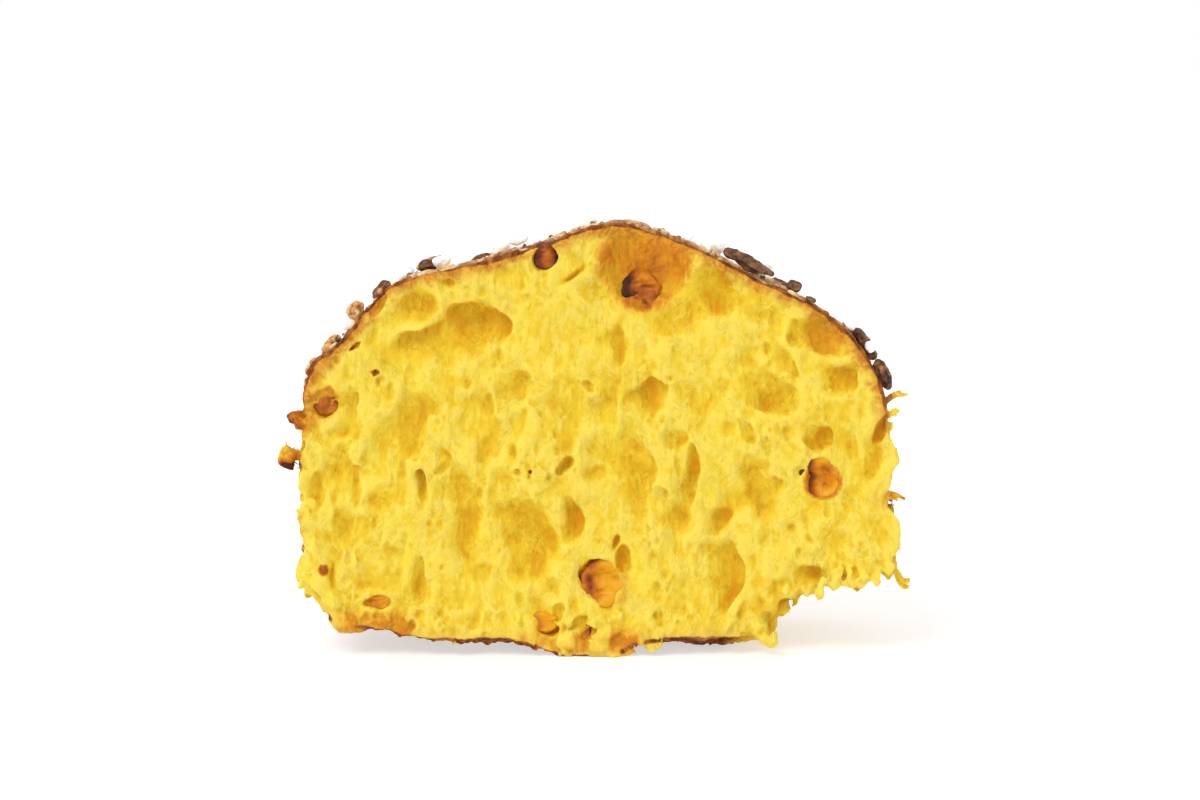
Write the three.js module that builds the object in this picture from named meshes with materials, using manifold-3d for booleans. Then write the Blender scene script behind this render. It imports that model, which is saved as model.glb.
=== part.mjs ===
// A thick slice of colomba, the dove-shaped Easter cake, standing on its base with both faces cut.
// The slice is one baked solid of crumb and crust. An almond glaze covers its dome, pearl sugar and
// chopped almonds sit on the glaze, and pieces of candied orange peel show in the front cut face.
//
// Frame: millimetres, +Z up, +X to the right of the front cut face, the front cut face towards -Y.
// The origin is on the board, under the middle of the slice's box.

import * as THREE from "three";
import { mergeVertices } from "three/addons/utils/BufferGeometryUtils.js";
import Module from "manifold-3d";

const wasm = await Module();
wasm.setup();

// ---------- driving dimensions ----------
const DEPTH = 38; // from cut face to cut face
const HALF_WIDTH = 61; // of the straight side that the paper mould held
const MOULD_HEIGHT = 50; // height of that side
const CORNER = 10; // radius where the side meets the base
const DOME_INSET = 1.1; // room left over the crust for the glaze
const GLAZE_THICKNESS = 0.8;
const GAP = 0.3; // between pieces that touch
const BACK_NARROWING = 0.045; // the lobe grows narrower towards the back face
const BACK_LOWERING = 0.055; // and lower

const FRONT = -DEPTH / 2;

// ---------- fineness of the faceted solids ----------
const SECTIONS = 6; // steps from front to back
const DOME_STEPS = 44;
const RIGHT_STEPS = 20;
const BASE_STEPS = 16;
const CORNER_STEPS = 5;
const CUBE_STEPS = 3;

// ---------- outline of the front cut face ----------
// The dome from the left shoulder to the right one, glaze included.
const domePoints = [
  [-HALF_WIDTH, MOULD_HEIGHT - 2],
  [-61.2, 55.5],
  [-58.6, 61.8],
  [-53.6, 66],
  [-46.2, 75],
  [-41.5, 79.2],
  [-33, 82.2],
  [-24.5, 83.6],
  [-13.2, 86.4],
  [-3.9, 90],
  [5.9, 92],
  [15.2, 89.8],
  [24.3, 85.8],
  [33.4, 80.8],
  [43, 76.4],
  [51.4, 71],
  [57.2, 64.4],
  [61, 57],
  [HALF_WIDTH + 1.4, MOULD_HEIGHT - 3],
].map(([x, z]) => new THREE.Vector2(x, z));

// The right side bulges, and its lower corner is torn away.
const rightSidePoints = [
  [62.6, 39.4],
  [61.2, 33.2],
  [64.2, 23.6],
  [61.4, 17.8],
  [53, 15.6],
  [47.8, 12.2],
  [40.6, 9.4],
  [38.4, 4],
  [37, 0],
].map(([x, z]) => new THREE.Vector2(x, z));

const SIDE_HEIGHTS = [16, 24, 32, 40]; // of the points up the left side
const SIDE_INSET = 0.6; // how far the mould held the left side in

const dome = new THREE.SplineCurve(domePoints);

// Outward normal of the dome at a share of its length, in the plane of the cut face.
function domeNormal(share) {
  const along = dome.getTangentAt(share);
  return new THREE.Vector2(-along.y, along.x);
}

// The dome moved outwards by an offset, from one share of its length to another.
function offsetDome(offset, from = 0, to = 1, steps = DOME_STEPS) {
  const points = [];
  for (let i = 0; i <= steps; i++) {
    const share = from + ((to - from) * i) / steps;
    points.push(dome.getPointAt(share).addScaledVector(domeNormal(share), offset));
  }
  return points;
}

// The outline of the baked slice, clockwise from the left shoulder.
function sliceOutline() {
  const top = offsetDome(-DOME_INSET);
  const right = new THREE.SplineCurve([top.at(-1), ...rightSidePoints]).getSpacedPoints(RIGHT_STEPS).slice(1);
  const base = [];
  const baseEnd = right.at(-1).x;
  const baseStart = -HALF_WIDTH + CORNER;
  for (let i = 1; i < BASE_STEPS; i++) {
    base.push(new THREE.Vector2(baseEnd + ((baseStart - baseEnd) * i) / BASE_STEPS, 0));
  }
  const corner = [];
  for (let i = 0; i <= CORNER_STEPS; i++) {
    const angle = -Math.PI / 2 - ((Math.PI / 2) * i) / CORNER_STEPS;
    corner.push(
      new THREE.Vector2(baseStart + CORNER * Math.cos(angle), CORNER + CORNER * Math.sin(angle)),
    );
  }
  const side = SIDE_HEIGHTS.map((z) => new THREE.Vector2(-HALF_WIDTH + SIDE_INSET, z));
  return [...top, ...right, ...base, ...corner, ...side];
}

// ---------- shape from front to back ----------
const smooth = (low, high, value) => THREE.MathUtils.smoothstep(value, low, high);

const LEFT_LIFT = 7.5; // the base bows up towards the left side
const BOW_FROM = -18; // where the bow starts
const BOW_TO = -58;
const FRONT_LIFT = 3.6; // the base's front edge curls up too, apart from one lump that touches the board
const CURL_DEPTH = 15; // how far behind the front face the curl ends
const CURL_TO = -40; // where it has faded out to the left
const LUMP_CENTRE = -2;
const LUMP_FLAT = 6.8; // half the width of the lump's flat underside
const LUMP_HALF_WIDTH = 13.5;
const LIFT_HEIGHT = 22; // height at which the base's lift has faded out

// How far the base is raised off the board.
function baseLift(x, y) {
  const bow = LEFT_LIFT * smooth(-BOW_FROM, -BOW_TO, -x);
  const besideLump = smooth(LUMP_FLAT, LUMP_HALF_WIDTH, Math.abs(x - LUMP_CENTRE));
  const atFront = 1 - smooth(0, CURL_DEPTH, y - FRONT);
  return bow + FRONT_LIFT * besideLump * atFront * (1 - smooth(-BOW_FROM, -CURL_TO, -x));
}

// Places a point of the front outline at depth y: the lobe narrows and sinks towards the back.
function shapeThrough(x, y, z) {
  const share = (y - FRONT) / DEPTH;
  const lift = baseLift(x, y) * (1 - smooth(0, LIFT_HEIGHT, z));
  return [x * (1 - BACK_NARROWING * share), y, z * (1 - BACK_LOWERING * share) + lift];
}

// Moves every vertex of a geometry with a function of its place.
function moveVertices(geometry, move) {
  const place = geometry.getAttribute("position");
  for (let i = 0; i < place.count; i++) {
    place.setXYZ(i, ...move(place.getX(i), place.getY(i), place.getZ(i)));
  }
  return geometry;
}

// Extrudes an outline of the cut face from the front face to the back one and shapes it.
function throughSlice(outline) {
  const extruded = new THREE.ExtrudeGeometry(new THREE.Shape(outline), {
    depth: DEPTH,
    steps: SECTIONS,
    bevelEnabled: false,
  });
  extruded.rotateX(Math.PI / 2).translate(0, DEPTH / 2, 0);
  return moveVertices(extruded, shapeThrough);
}

// ---------- small pieces ----------
const PEEL_ROUNDNESS = 0.35; // from 0, a sharp cube, to 1, a ball
const POCKET_ROUNDNESS = 0.2;
const BALL_RADIUS = 0.62; // of the ball that a cube of side 1 is rounded towards
const UNEVENNESS = 0.05; // as a share of the piece's size
const LUMPS = 0.13; // a grain's large bumps, as a share of its size
const KNOBS = 0.09; // and its small ones
const GRAIN_SWELL = 1.15; // how much taller the bumps may make it

// A cube with softened edges and slightly uneven sides.
function softCube([width, depth, height], roundness) {
  const cube = new THREE.BoxGeometry(1, 1, 1, CUBE_STEPS, CUBE_STEPS, CUBE_STEPS);
  return moveVertices(cube, (x, y, z) => {
    const ball = new THREE.Vector3(x, y, z).normalize().multiplyScalar(BALL_RADIUS);
    const mixed = ball.lerp(new THREE.Vector3(x, y, z), 1 - roundness);
    const uneven = 1 + UNEVENNESS * Math.sin(9 * x + 5 * y + 7 * z);
    return [mixed.x * width * uneven, mixed.y * depth * uneven, mixed.z * height * uneven];
  });
}

// A rough grain of pearl sugar or a chip of nut: a ball with its corners knocked about.
function roughGrain([width, depth, height], seed) {
  const ball = new THREE.IcosahedronGeometry(0.5, 1);
  return moveVertices(ball, (x, y, z) => {
    const lumps = LUMPS * Math.sin(11 * x + seed) * Math.cos(13 * y - seed);
    const rough = 1 + lumps + KNOBS * Math.sin(17 * z + 2 * seed);
    return [x * rough * width, y * rough * depth, z * rough * height];
  });
}

// ---------- candied peel, each piece in its own pocket in the front cut face ----------
// x and z are the middle of the piece, size is width, depth and height, turn is about Y in degrees.
const peelPieces = [
  { name: "candied_peel_under_dome", x: 9.9, z: 76.8, size: [6.6, 5, 5.2], turn: 28 },
  { name: "candied_peel_top_edge", x: -9.5, z: 82.2, size: [4.2, 4.2, 4.4], turn: 8 },
  { name: "candied_peel_left_shoulder", x: -55.2, z: 53.6, size: [4.6, 4.4, 4.2], turn: 20 },
  { name: "candied_peel_right_hole", x: 47.3, z: 37.2, size: [5.4, 4.8, 5.6], turn: -24 },
  { name: "candied_peel_lower_middle", x: 2.2, z: 15, size: [6, 5, 6.4], turn: 40 },
  { name: "candied_peel_base_left", x: -45, z: 11.6, size: [5.2, 4.2, 3], turn: 6 },
  { name: "candied_peel_base_middle", x: -10, z: 7, size: [5.2, 4.4, 2.8], turn: 8 },
  { name: "candied_peel_base_lump", x: -1.6, z: 4.4, size: [6.4, 5, 3.6], turn: -4 },
];
const PEEL_SET_BACK = 0.6; // behind the cut face
const POCKET_ROOM = 1.2; // added to the piece's size

const { degToRad } = THREE.MathUtils;

function pocketOf({ x, z, size: [width, depth, height], turn }) {
  const opening = [width + POCKET_ROOM, 2 * (depth + POCKET_ROOM), height + POCKET_ROOM];
  return softCube(opening, POCKET_ROUNDNESS).rotateY(degToRad(turn)).translate(x, FRONT, z);
}

function peelMesh(piece) {
  const mesh = new THREE.Mesh(softCube(piece.size, PEEL_ROUNDNESS), candiedPeel);
  mesh.name = piece.name;
  mesh.rotation.y = degToRad(piece.turn);
  mesh.position.set(piece.x, FRONT + PEEL_SET_BACK + piece.size[1] / 2, piece.z);
  return mesh;
}

// ---------- boolean cuts ----------
function solidOf(geometry) {
  const bare = geometry.clone();
  bare.deleteAttribute("normal");
  bare.deleteAttribute("uv");
  const merged = mergeVertices(bare, 1e-3);
  return new wasm.Manifold(
    new wasm.Mesh({
      numProp: 3,
      vertProperties: merged.getAttribute("position").array,
      triVerts: new Uint32Array(merged.index.array),
    }),
  );
}

function geometryOf(solid) {
  const { vertProperties, triVerts } = solid.getMesh();
  return new THREE.BufferGeometry()
    .setAttribute("position", new THREE.BufferAttribute(vertProperties, 3))
    .setIndex(new THREE.BufferAttribute(triVerts, 1));
}

// ---------- materials ----------
const bakedCrumb = new THREE.MeshStandardMaterial({ color: "#f3cf4e", roughness: 0.75, metalness: 0 });
const almondGlaze = new THREE.MeshStandardMaterial({ color: "#c99a5e", roughness: 0.6, metalness: 0 });
const pearlSugar = new THREE.MeshStandardMaterial({ color: "#fbf7ef", roughness: 0.5, metalness: 0 });
const almondSkin = new THREE.MeshStandardMaterial({ color: "#5b2c1c", roughness: 0.6, metalness: 0 });
const candiedPeel = new THREE.MeshStandardMaterial({ color: "#d9781a", roughness: 0.35, metalness: 0 });

// ---------- the baked slice ----------
function bakedSlice() {
  let solid = solidOf(throughSlice(sliceOutline()));
  for (const piece of peelPieces) {
    solid = solid.subtract(solidOf(pocketOf(piece)));
  }
  const mesh = new THREE.Mesh(geometryOf(solid), bakedCrumb);
  mesh.name = "cake_slice";
  return mesh;
}

// ---------- the glaze over the dome ----------
const GLAZE_FROM = 0.055; // as a share of the dome's length
const GLAZE_TO = 0.945;
const GLAZE_INNER = -DOME_INSET + GAP; // offset from the dome
const GLAZE_OUTER = GLAZE_INNER + GLAZE_THICKNESS;

function glaze() {
  const inner = offsetDome(GLAZE_INNER, GLAZE_FROM, GLAZE_TO);
  const outer = offsetDome(GLAZE_OUTER, GLAZE_FROM, GLAZE_TO);
  const mesh = new THREE.Mesh(throughSlice([...outer, ...inner.reverse()]), almondGlaze);
  mesh.name = "almond_glaze";
  return mesh;
}

// ---------- toppings ----------
const TOPPING_GAP = GAP * 1.5; // under each piece

// Sets a piece on the glaze: share is along the dome from the left, back is its depth behind the
// front face, lean turns it about Y past the slope of the dome, and spin turns it about its own
// upright axis. Angles are in degrees.
function setOnGlaze(mesh, { share, back, height, lean = 0, spin = 0 }) {
  const onDome = dome.getPointAt(share);
  const normal = domeNormal(share);
  const clear = GLAZE_OUTER + TOPPING_GAP + height / 2;
  const [x, y, z] = shapeThrough(onDome.x, FRONT + back, onDome.y);
  mesh.position.set(x + normal.x * clear, y, z + normal.y * clear);
  mesh.rotation.order = "YZX";
  mesh.rotation.y = Math.atan2(normal.x, normal.y) + degToRad(lean);
  mesh.rotation.z = degToRad(spin);
  return mesh;
}

const sugarGrains = [
  { share: 0.615, back: 1.6, size: [2.6, 2.6, 2.2] },
  { share: 0.718, back: 6.8, size: [4.4, 3.4, 3.4] },
  { share: 0.846, back: 2, size: [3.2, 2.8, 2.4] },
  { share: 0.886, back: 1.4, size: [2.4, 2, 1.8] },
  { share: 0.4, back: 2.4, size: [3.6, 2.6, 1.8] },
  { share: 0.15, back: 13, size: [3.2, 3.4, 2.6] },
  { share: 0.24, back: 26, size: [3.6, 3, 2.6] },
  { share: 0.3, back: 9, size: [2.8, 3, 2.4] },
  { share: 0.37, back: 20, size: [3.8, 3.2, 2.8] },
  { share: 0.44, back: 32, size: [3, 3.4, 2.4] },
  { share: 0.49, back: 12, size: [3.4, 3, 2.6] },
  { share: 0.55, back: 24, size: [3.6, 3.6, 2.8] },
  { share: 0.64, back: 33, size: [3, 2.8, 2.4] },
  { share: 0.66, back: 14, size: [3.4, 3.2, 2.6] },
  { share: 0.74, back: 25, size: [3.8, 3.2, 2.6] },
  { share: 0.83, back: 16, size: [3, 3, 2.4] },
  { share: 0.89, back: 30, size: [3.2, 3, 2.4] },
];

const SUGAR_SPIN = 40; // degrees from one grain to the next

function sugarMesh(grain, index) {
  const mesh = new THREE.Mesh(roughGrain(grain.size, index + 1), pearlSugar);
  mesh.name = `pearl_sugar_${String(index + 1).padStart(2, "0")}`;
  return setOnGlaze(mesh, { ...grain, height: grain.size[2] * GRAIN_SWELL, spin: SUGAR_SPIN * index });
}

const almondChips = [
  { share: 0.7, back: 2.4, size: [12.4, 3.4, 2.5], lean: -2 },
  { share: 0.764, back: 2.4, size: [3.4, 3, 1.8] },
  { share: 0.79, back: 2.2, size: [2.6, 2.6, 1.6] },
  { share: 0.88, back: 5.6, size: [6.2, 4.6, 3] },
  { share: 0.924, back: 3.2, size: [5, 4.2, 3.2] },
  { share: 0.176, back: 2.6, size: [4.2, 3.6, 3] },
  { share: 0.122, back: 2.6, size: [4.2, 3.4, 2.4] },
  { share: 0.21, back: 16, size: [5, 3.8, 2.6] },
  { share: 0.34, back: 31, size: [4.6, 4, 2.4] },
  { share: 0.87, back: 22, size: [4.8, 3.8, 2.6] },
  { share: 0.28, back: 21, size: [7, 4.4, 2.8] },
  { share: 0.52, back: 29, size: [8, 4.6, 2.8] },
  { share: 0.61, back: 22, size: [6.4, 5, 2.6] },
  { share: 0.77, back: 31, size: [7, 4.4, 2.8] },
];

const FIRST_CHIP_SEED = 31;

function chipMesh(chip, index) {
  const mesh = new THREE.Mesh(roughGrain(chip.size, index + FIRST_CHIP_SEED), almondSkin);
  mesh.name = `almond_chip_${String(index + 1).padStart(2, "0")}`;
  return setOnGlaze(mesh, { ...chip, height: chip.size[2] * GRAIN_SWELL });
}

// ---------- assembly ----------
const pieces = new THREE.Group();
pieces.add(bakedSlice(), glaze());
pieces.add(...peelPieces.map(peelMesh));
pieces.add(...sugarGrains.map(sugarMesh));
pieces.add(...almondChips.map(chipMesh));

// Stands the slice on the board with the middle of its box over the origin.
const box = new THREE.Box3().setFromObject(pieces, true);
const middle = box.getCenter(new THREE.Vector3());
pieces.position.set(-middle.x, -middle.y, -box.min.z);

const colombaSlice = new THREE.Group().add(pieces);

export default colombaSlice;
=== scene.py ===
"""Looks of a thick slice of colomba, the Easter cake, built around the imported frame.

The slice is one baked piece: soft yellow crumb with air holes, inside a thin brown crust. Almond
glaze, pearl sugar and roasted almonds sit on its dome, and candied peel shows in its cut face.
Sizes and places in this file are in millimetres in the frame's own axes, and meshes are in metres.
"""

import logging
import math
from collections.abc import Iterator, Sequence
from dataclasses import dataclass, field
from enum import Enum
from functools import reduce
from typing import Any

import bmesh
import bpy
import numpy as np
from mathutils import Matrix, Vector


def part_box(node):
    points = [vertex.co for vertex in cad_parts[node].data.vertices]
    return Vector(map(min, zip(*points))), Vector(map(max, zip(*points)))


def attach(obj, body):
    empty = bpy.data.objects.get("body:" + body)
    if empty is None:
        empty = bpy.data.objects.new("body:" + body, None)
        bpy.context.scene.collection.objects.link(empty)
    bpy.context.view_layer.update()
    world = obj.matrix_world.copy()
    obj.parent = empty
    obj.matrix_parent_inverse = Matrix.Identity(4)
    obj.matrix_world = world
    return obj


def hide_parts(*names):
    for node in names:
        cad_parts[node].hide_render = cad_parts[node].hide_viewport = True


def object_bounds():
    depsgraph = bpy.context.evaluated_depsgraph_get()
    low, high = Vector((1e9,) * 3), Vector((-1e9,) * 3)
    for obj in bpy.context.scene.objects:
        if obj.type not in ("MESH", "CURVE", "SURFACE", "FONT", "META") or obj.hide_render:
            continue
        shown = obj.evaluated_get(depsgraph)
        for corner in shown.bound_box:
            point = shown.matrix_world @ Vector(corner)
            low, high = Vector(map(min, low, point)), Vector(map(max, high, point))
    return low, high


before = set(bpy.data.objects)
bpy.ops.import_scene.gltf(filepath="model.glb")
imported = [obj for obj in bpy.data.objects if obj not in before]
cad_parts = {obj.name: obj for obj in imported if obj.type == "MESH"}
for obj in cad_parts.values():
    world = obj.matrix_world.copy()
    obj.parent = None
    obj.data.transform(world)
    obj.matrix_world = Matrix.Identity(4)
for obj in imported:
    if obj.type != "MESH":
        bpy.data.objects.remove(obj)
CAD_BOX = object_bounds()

import openvdb
from mathutils import Vector
from mathutils.bvhtree import BVHTree

LOG = logging.getLogger("colomba")
MM = 0.001
ABOVE_FLOOR = 0.02

Array = np.ndarray
Triple = tuple[float, float, float]
Mesh = bpy.types.Mesh
Piece = bpy.types.Object
Finish = bpy.types.Material
Tree = bpy.types.NodeTree
Node = bpy.types.Node
Socket = bpy.types.NodeSocket


class Slot(Enum):
    """The material slots."""

    CRUMB = "baked_crumb"
    GLAZE = "almond_glaze"
    SUGAR = "pearl_sugar"
    ALMOND = "almond_skin"
    PEEL = "candied_peel"


class Face(Enum):
    """The two cut faces, by the way they look along Y."""

    FRONT = -1
    BACK = 1


# ---------------------------------------------------------------------------
# Numbers and noise
# ---------------------------------------------------------------------------


def smooth_step(low: float, high: float, value: Array) -> Array:
    """Eases from 0 at low to 1 at high."""
    share = np.clip((value - low) / (high - low), 0.0, 1.0)
    return share * share * (3.0 - 2.0 * share)


def smooth_max(first: Array, second: Array, reach: float) -> Array:
    """The larger of two values, with the corner between them rounded over reach."""
    near = np.maximum(reach - np.abs(first - second), 0.0) / reach
    return np.maximum(first, second) + near * near * reach * 0.25


def spline_weights(places: Array, start: float, spacing: float) -> Array:
    """Cubic B-spline weights of a regular row of lattice points.

    Args:
        places: Where the values are wanted.
        start: Where the row of lattice points starts.
        spacing: The distance between lattice points.

    Returns:
        One row of weights for each place.
    """
    share = (places - start) / spacing
    cell = np.floor(share).astype(int)
    t = share - cell
    weights = np.zeros((len(places), cell.max() + 4), np.float32)
    rows = np.arange(len(places))
    parts = ((1 - t) ** 3, 3 * t**3 - 6 * t**2 + 4, -3 * t**3 + 3 * t**2 + 3 * t + 1, t**3)
    for step, part in enumerate(parts):
        weights[rows, cell + step] = part / 6
    return weights


def cube_corners(share: Array) -> Iterator[tuple[Array, Array]]:
    """The eight corners around a place in a grid, and each corner's weight there."""
    for corner in range(8):
        offset = np.array([corner & 1, corner >> 1 & 1, corner >> 2 & 1])
        yield offset, np.where(offset == 1, share, 1 - share).prod(axis=1)


def noise_at(points: Array, spacing: Triple | float, seed: int) -> Array:
    """Smooth value noise from -1 to 1 at any points.

    Args:
        points: Places in millimetres, one row each.
        spacing: The size of the bumps, along each axis or the same along all.
        seed: Picks the pattern.

    Returns:
        One value for each point.
    """
    scaled = points / np.asarray(spacing, float) + 1000.0
    cell = np.floor(scaled).astype(np.int64)
    ease = scaled - cell
    ease = ease * ease * (3 - 2 * ease)
    total = np.zeros(len(points))
    for offset, weight in cube_corners(ease):
        key = (cell + offset) @ np.array([73856093, 19349663, 83492791]) + seed * 2654435761
        key = (key ^ key >> 13) * 1274126177 & 0x7FFFFFFF
        key = (key ^ key >> 16) * 668265263 & 0x7FFFFFFF
        total += weight * (key / 0x40000000 - 1.0)
    return total


def cell_noise(places: Array, spacing: float, seed: int) -> tuple[Array, Array]:
    """Distances to the nearest and the second nearest of scattered points in a plane.

    Args:
        places: Two coordinates a row, in millimetres.
        spacing: The usual distance between the scattered points.
        seed: Picks the pattern.

    Returns:
        Both distances, in millimetres.
    """
    scaled = places / spacing
    cell = np.floor(scaled).astype(int)
    size = int(np.abs(cell).max()) + 3
    jitter = np.random.default_rng(seed).random((2 * size, 2 * size, 2))
    nearest = np.full(len(places), 9.0)
    second = np.full(len(places), 9.0)
    for step_x in (-1, 0, 1):
        for step_y in (-1, 0, 1):
            other = cell + (step_x, step_y)
            centre = other + jitter[other[:, 0] + size, other[:, 1] + size]
            gap = np.hypot(*(centre - scaled).T)
            second = np.minimum(second, np.maximum(gap, nearest))
            nearest = np.minimum(nearest, gap)
    return nearest * spacing, second * spacing


# ---------------------------------------------------------------------------
# Meshes
# ---------------------------------------------------------------------------


def nodes_of(kind: str) -> list[str]:
    """The CAD nodes of one kind, in order."""
    return sorted(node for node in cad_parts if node.startswith(kind))


def box_of(node: str) -> tuple[Array, Array]:
    """The two corners of a CAD node's box, in millimetres."""
    low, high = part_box(node)
    return np.array(low) / MM, np.array(high) / MM


def read(items: Any, name: str, kind: type = np.float32) -> Array:
    """Three numbers for each of a mesh's items, one row each."""
    values = np.empty(len(items) * 3, kind)
    items.foreach_get(name, values)
    return values.reshape(-1, 3)


def triangles_of(node: str) -> tuple[Array, Array]:
    """The points of a CAD node in millimetres, and its triangles."""
    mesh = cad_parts[node].data
    mesh.calc_loop_triangles()
    return read(mesh.vertices, "co") / MM, read(mesh.loop_triangles, "vertices", np.int32)


def make_mesh(name: str, points: Array, faces: Array) -> Mesh:
    """Makes a smooth mesh from arrays.

    Args:
        name: The mesh's name.
        points: Its points in millimetres.
        faces: Point numbers, one face a row.

    Returns:
        The mesh, in metres.
    """
    mesh = bpy.data.meshes.new(name)
    mesh.vertices.add(len(points))
    move_points(mesh, points)
    mesh.loops.add(faces.size)
    mesh.loops.foreach_set("vertex_index", faces.astype(np.int32).ravel())
    mesh.polygons.add(len(faces))
    mesh.polygons.foreach_set("loop_start", np.arange(0, faces.size, faces.shape[1], dtype=np.int32))
    mesh.polygons.foreach_set("use_smooth", np.ones(len(faces), bool))
    mesh.update(calc_edges=True)
    mesh.validate()
    return mesh


def points_of(mesh: Mesh) -> Array:
    """A mesh's points in millimetres."""
    return read(mesh.vertices, "co").astype(float) / MM


def normals_of(mesh: Mesh) -> Array:
    """A mesh's point normals."""
    return read(mesh.vertex_normals, "vector").astype(float)


def move_points(mesh: Mesh, points: Array) -> None:
    """Puts a mesh's points at new places, in millimetres."""
    mesh.vertices.foreach_set("co", (points * MM).astype(np.float32).ravel())
    mesh.update()


def set_mark(mesh: Mesh, title: str, values: Array) -> None:
    """Gives each point of a mesh a named value."""
    layer = mesh.attributes.new(title, "FLOAT", "POINT")
    layer.data.foreach_set("value", values.astype(np.float32))


def link(name: str, data: bpy.types.ID) -> Piece:
    """Adds a mesh, a light or a camera to the scene as an object at the origin."""
    made = bpy.data.objects.new(name, data)
    bpy.context.scene.collection.objects.link(made)
    return made


def evaluated_mesh(made: Piece, name: str) -> Mesh:
    """What an object's modifiers make of it, as a plain mesh.

    Args:
        made: The object.
        name: The new mesh's name.

    Returns:
        The mesh.
    """
    depsgraph = bpy.context.evaluated_depsgraph_get()
    depsgraph.update()
    mesh = bpy.data.meshes.new_from_object(made.evaluated_get(depsgraph), depsgraph=depsgraph)
    mesh.name = name
    return mesh


def modified(mesh: Mesh, kind: str, **settings: float) -> Mesh:
    """What a modifier with some settings makes of a mesh, under the mesh's own name.

    Args:
        mesh: The mesh, which is removed.
        kind: The modifier's type.
        settings: The modifier's settings.

    Returns:
        The new mesh, under the old one's name.
    """
    name = mesh.name
    blank = link(f"{name}_blank", mesh)
    modifier = blank.modifiers.new("step", kind)
    for title, value in settings.items():
        setattr(modifier, title, value)
    result = evaluated_mesh(blank, name)
    bpy.data.objects.remove(blank)
    bpy.data.meshes.remove(mesh)
    result.name = name
    return result


def subdivided_node(node: str, levels: int) -> Mesh:
    """A merged and smoothly subdivided copy of a CAD node's mesh.

    Args:
        node: The CAD node.
        levels: How many times it is subdivided.

    Returns:
        The new mesh.
    """
    sculpt = bmesh.new()
    sculpt.from_mesh(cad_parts[node].data)
    bmesh.ops.remove_doubles(sculpt, verts=sculpt.verts, dist=0.001 * MM)
    mesh = bpy.data.meshes.new(node)
    sculpt.to_mesh(mesh)
    sculpt.free()
    result = modified(mesh, "SUBSURF", levels=levels, render_levels=levels)
    result.materials.clear()
    result.polygons.foreach_set("use_smooth", np.ones(len(result.polygons), bool))
    return result


def shells(points: Array, faces: Array, least: int) -> tuple[Array, Array]:
    """Keeps the connected shells that have enough points and drops the others.

    Args:
        points: All points.
        faces: Point numbers, three or four a row.
        least: The fewest points that a kept shell has.

    Returns:
        The kept points and faces.
    """
    starts = np.concatenate([faces[:, i] for i in range(faces.shape[1])])
    ends = np.concatenate([np.roll(faces, -1, axis=1)[:, i] for i in range(faces.shape[1])])
    labels = np.arange(len(points))
    while True:
        low = np.minimum(labels[starts], labels[ends])
        lowered = labels.copy()
        np.minimum.at(lowered, labels[starts], low)
        np.minimum.at(lowered, labels[ends], low)
        lowered = lowered[lowered]
        if np.array_equal(lowered, labels):
            break
        labels = lowered
    keep = np.bincount(labels, minlength=len(points))[labels] >= least
    number = np.cumsum(keep) - 1
    return points[keep], number[faces[keep[faces[:, 0]]]]


# ---------------------------------------------------------------------------
# The voxel field that the crumb is carved in
# ---------------------------------------------------------------------------


@dataclass(frozen=True)
class Cavity:
    """An egg-shaped hole in the crumb, which may lean sideways as it goes deeper.

    A hole that leans has one steep wall with a crisp rim and one gentle slope. tilt is its turn in
    the cut face in degrees, lean its sideways run in X and Z for each millimetre in Y, soft the
    rounding of its rim and wobble how far noise bends its outline, as a share of its size.
    """

    centre: Triple
    radii: Triple
    tilt: float = 0.0
    soft: float = 0.4
    wobble: float = 0.2
    lean: tuple[float, float] = (0.0, 0.0)

    def reach(self) -> float:
        """How far from its centre the hole can change the crumb."""
        lean = max(abs(self.lean[0]), abs(self.lean[1]))
        return max(self.radii) * (1 + 2 * self.wobble) + lean * self.radii[1] + 2 * self.soft

    def bend(self) -> float:
        """How far noise moves the hole's outline, in millimetres."""
        return self.wobble * min(self.radii[0], self.radii[2], 4.0)

    def roundness(self, x: Array, y: Array, z: Array) -> tuple[Array, Array]:
        """Distance from the centre as a share of the radii, and how fast it grows.

        Args:
            x, y, z: Places in millimetres.

        Returns:
            Both values for each place.
        """
        turn = math.radians(self.tilt)
        v = y - self.centre[1]
        across = x - self.centre[0] - self.lean[0] * v
        up = z - self.centre[2] - self.lean[1] * v
        u = across * math.cos(turn) + up * math.sin(turn)
        w = up * math.cos(turn) - across * math.sin(turn)
        a, b, c = self.radii
        share = np.sqrt((u / a) ** 2 + (v / b) ** 2 + (w / c) ** 2)
        growth = np.sqrt((u / a**2) ** 2 + (v / b**2) ** 2 + (w / c**2) ** 2)
        return share, np.maximum(growth, 1e-4)

    def distance(self, x: Array, y: Array, z: Array) -> Array:
        """Signed distance to the hole's wall, negative inside the hole."""
        share, growth = self.roundness(x, y, z)
        return share * (share - 1) / growth


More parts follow.
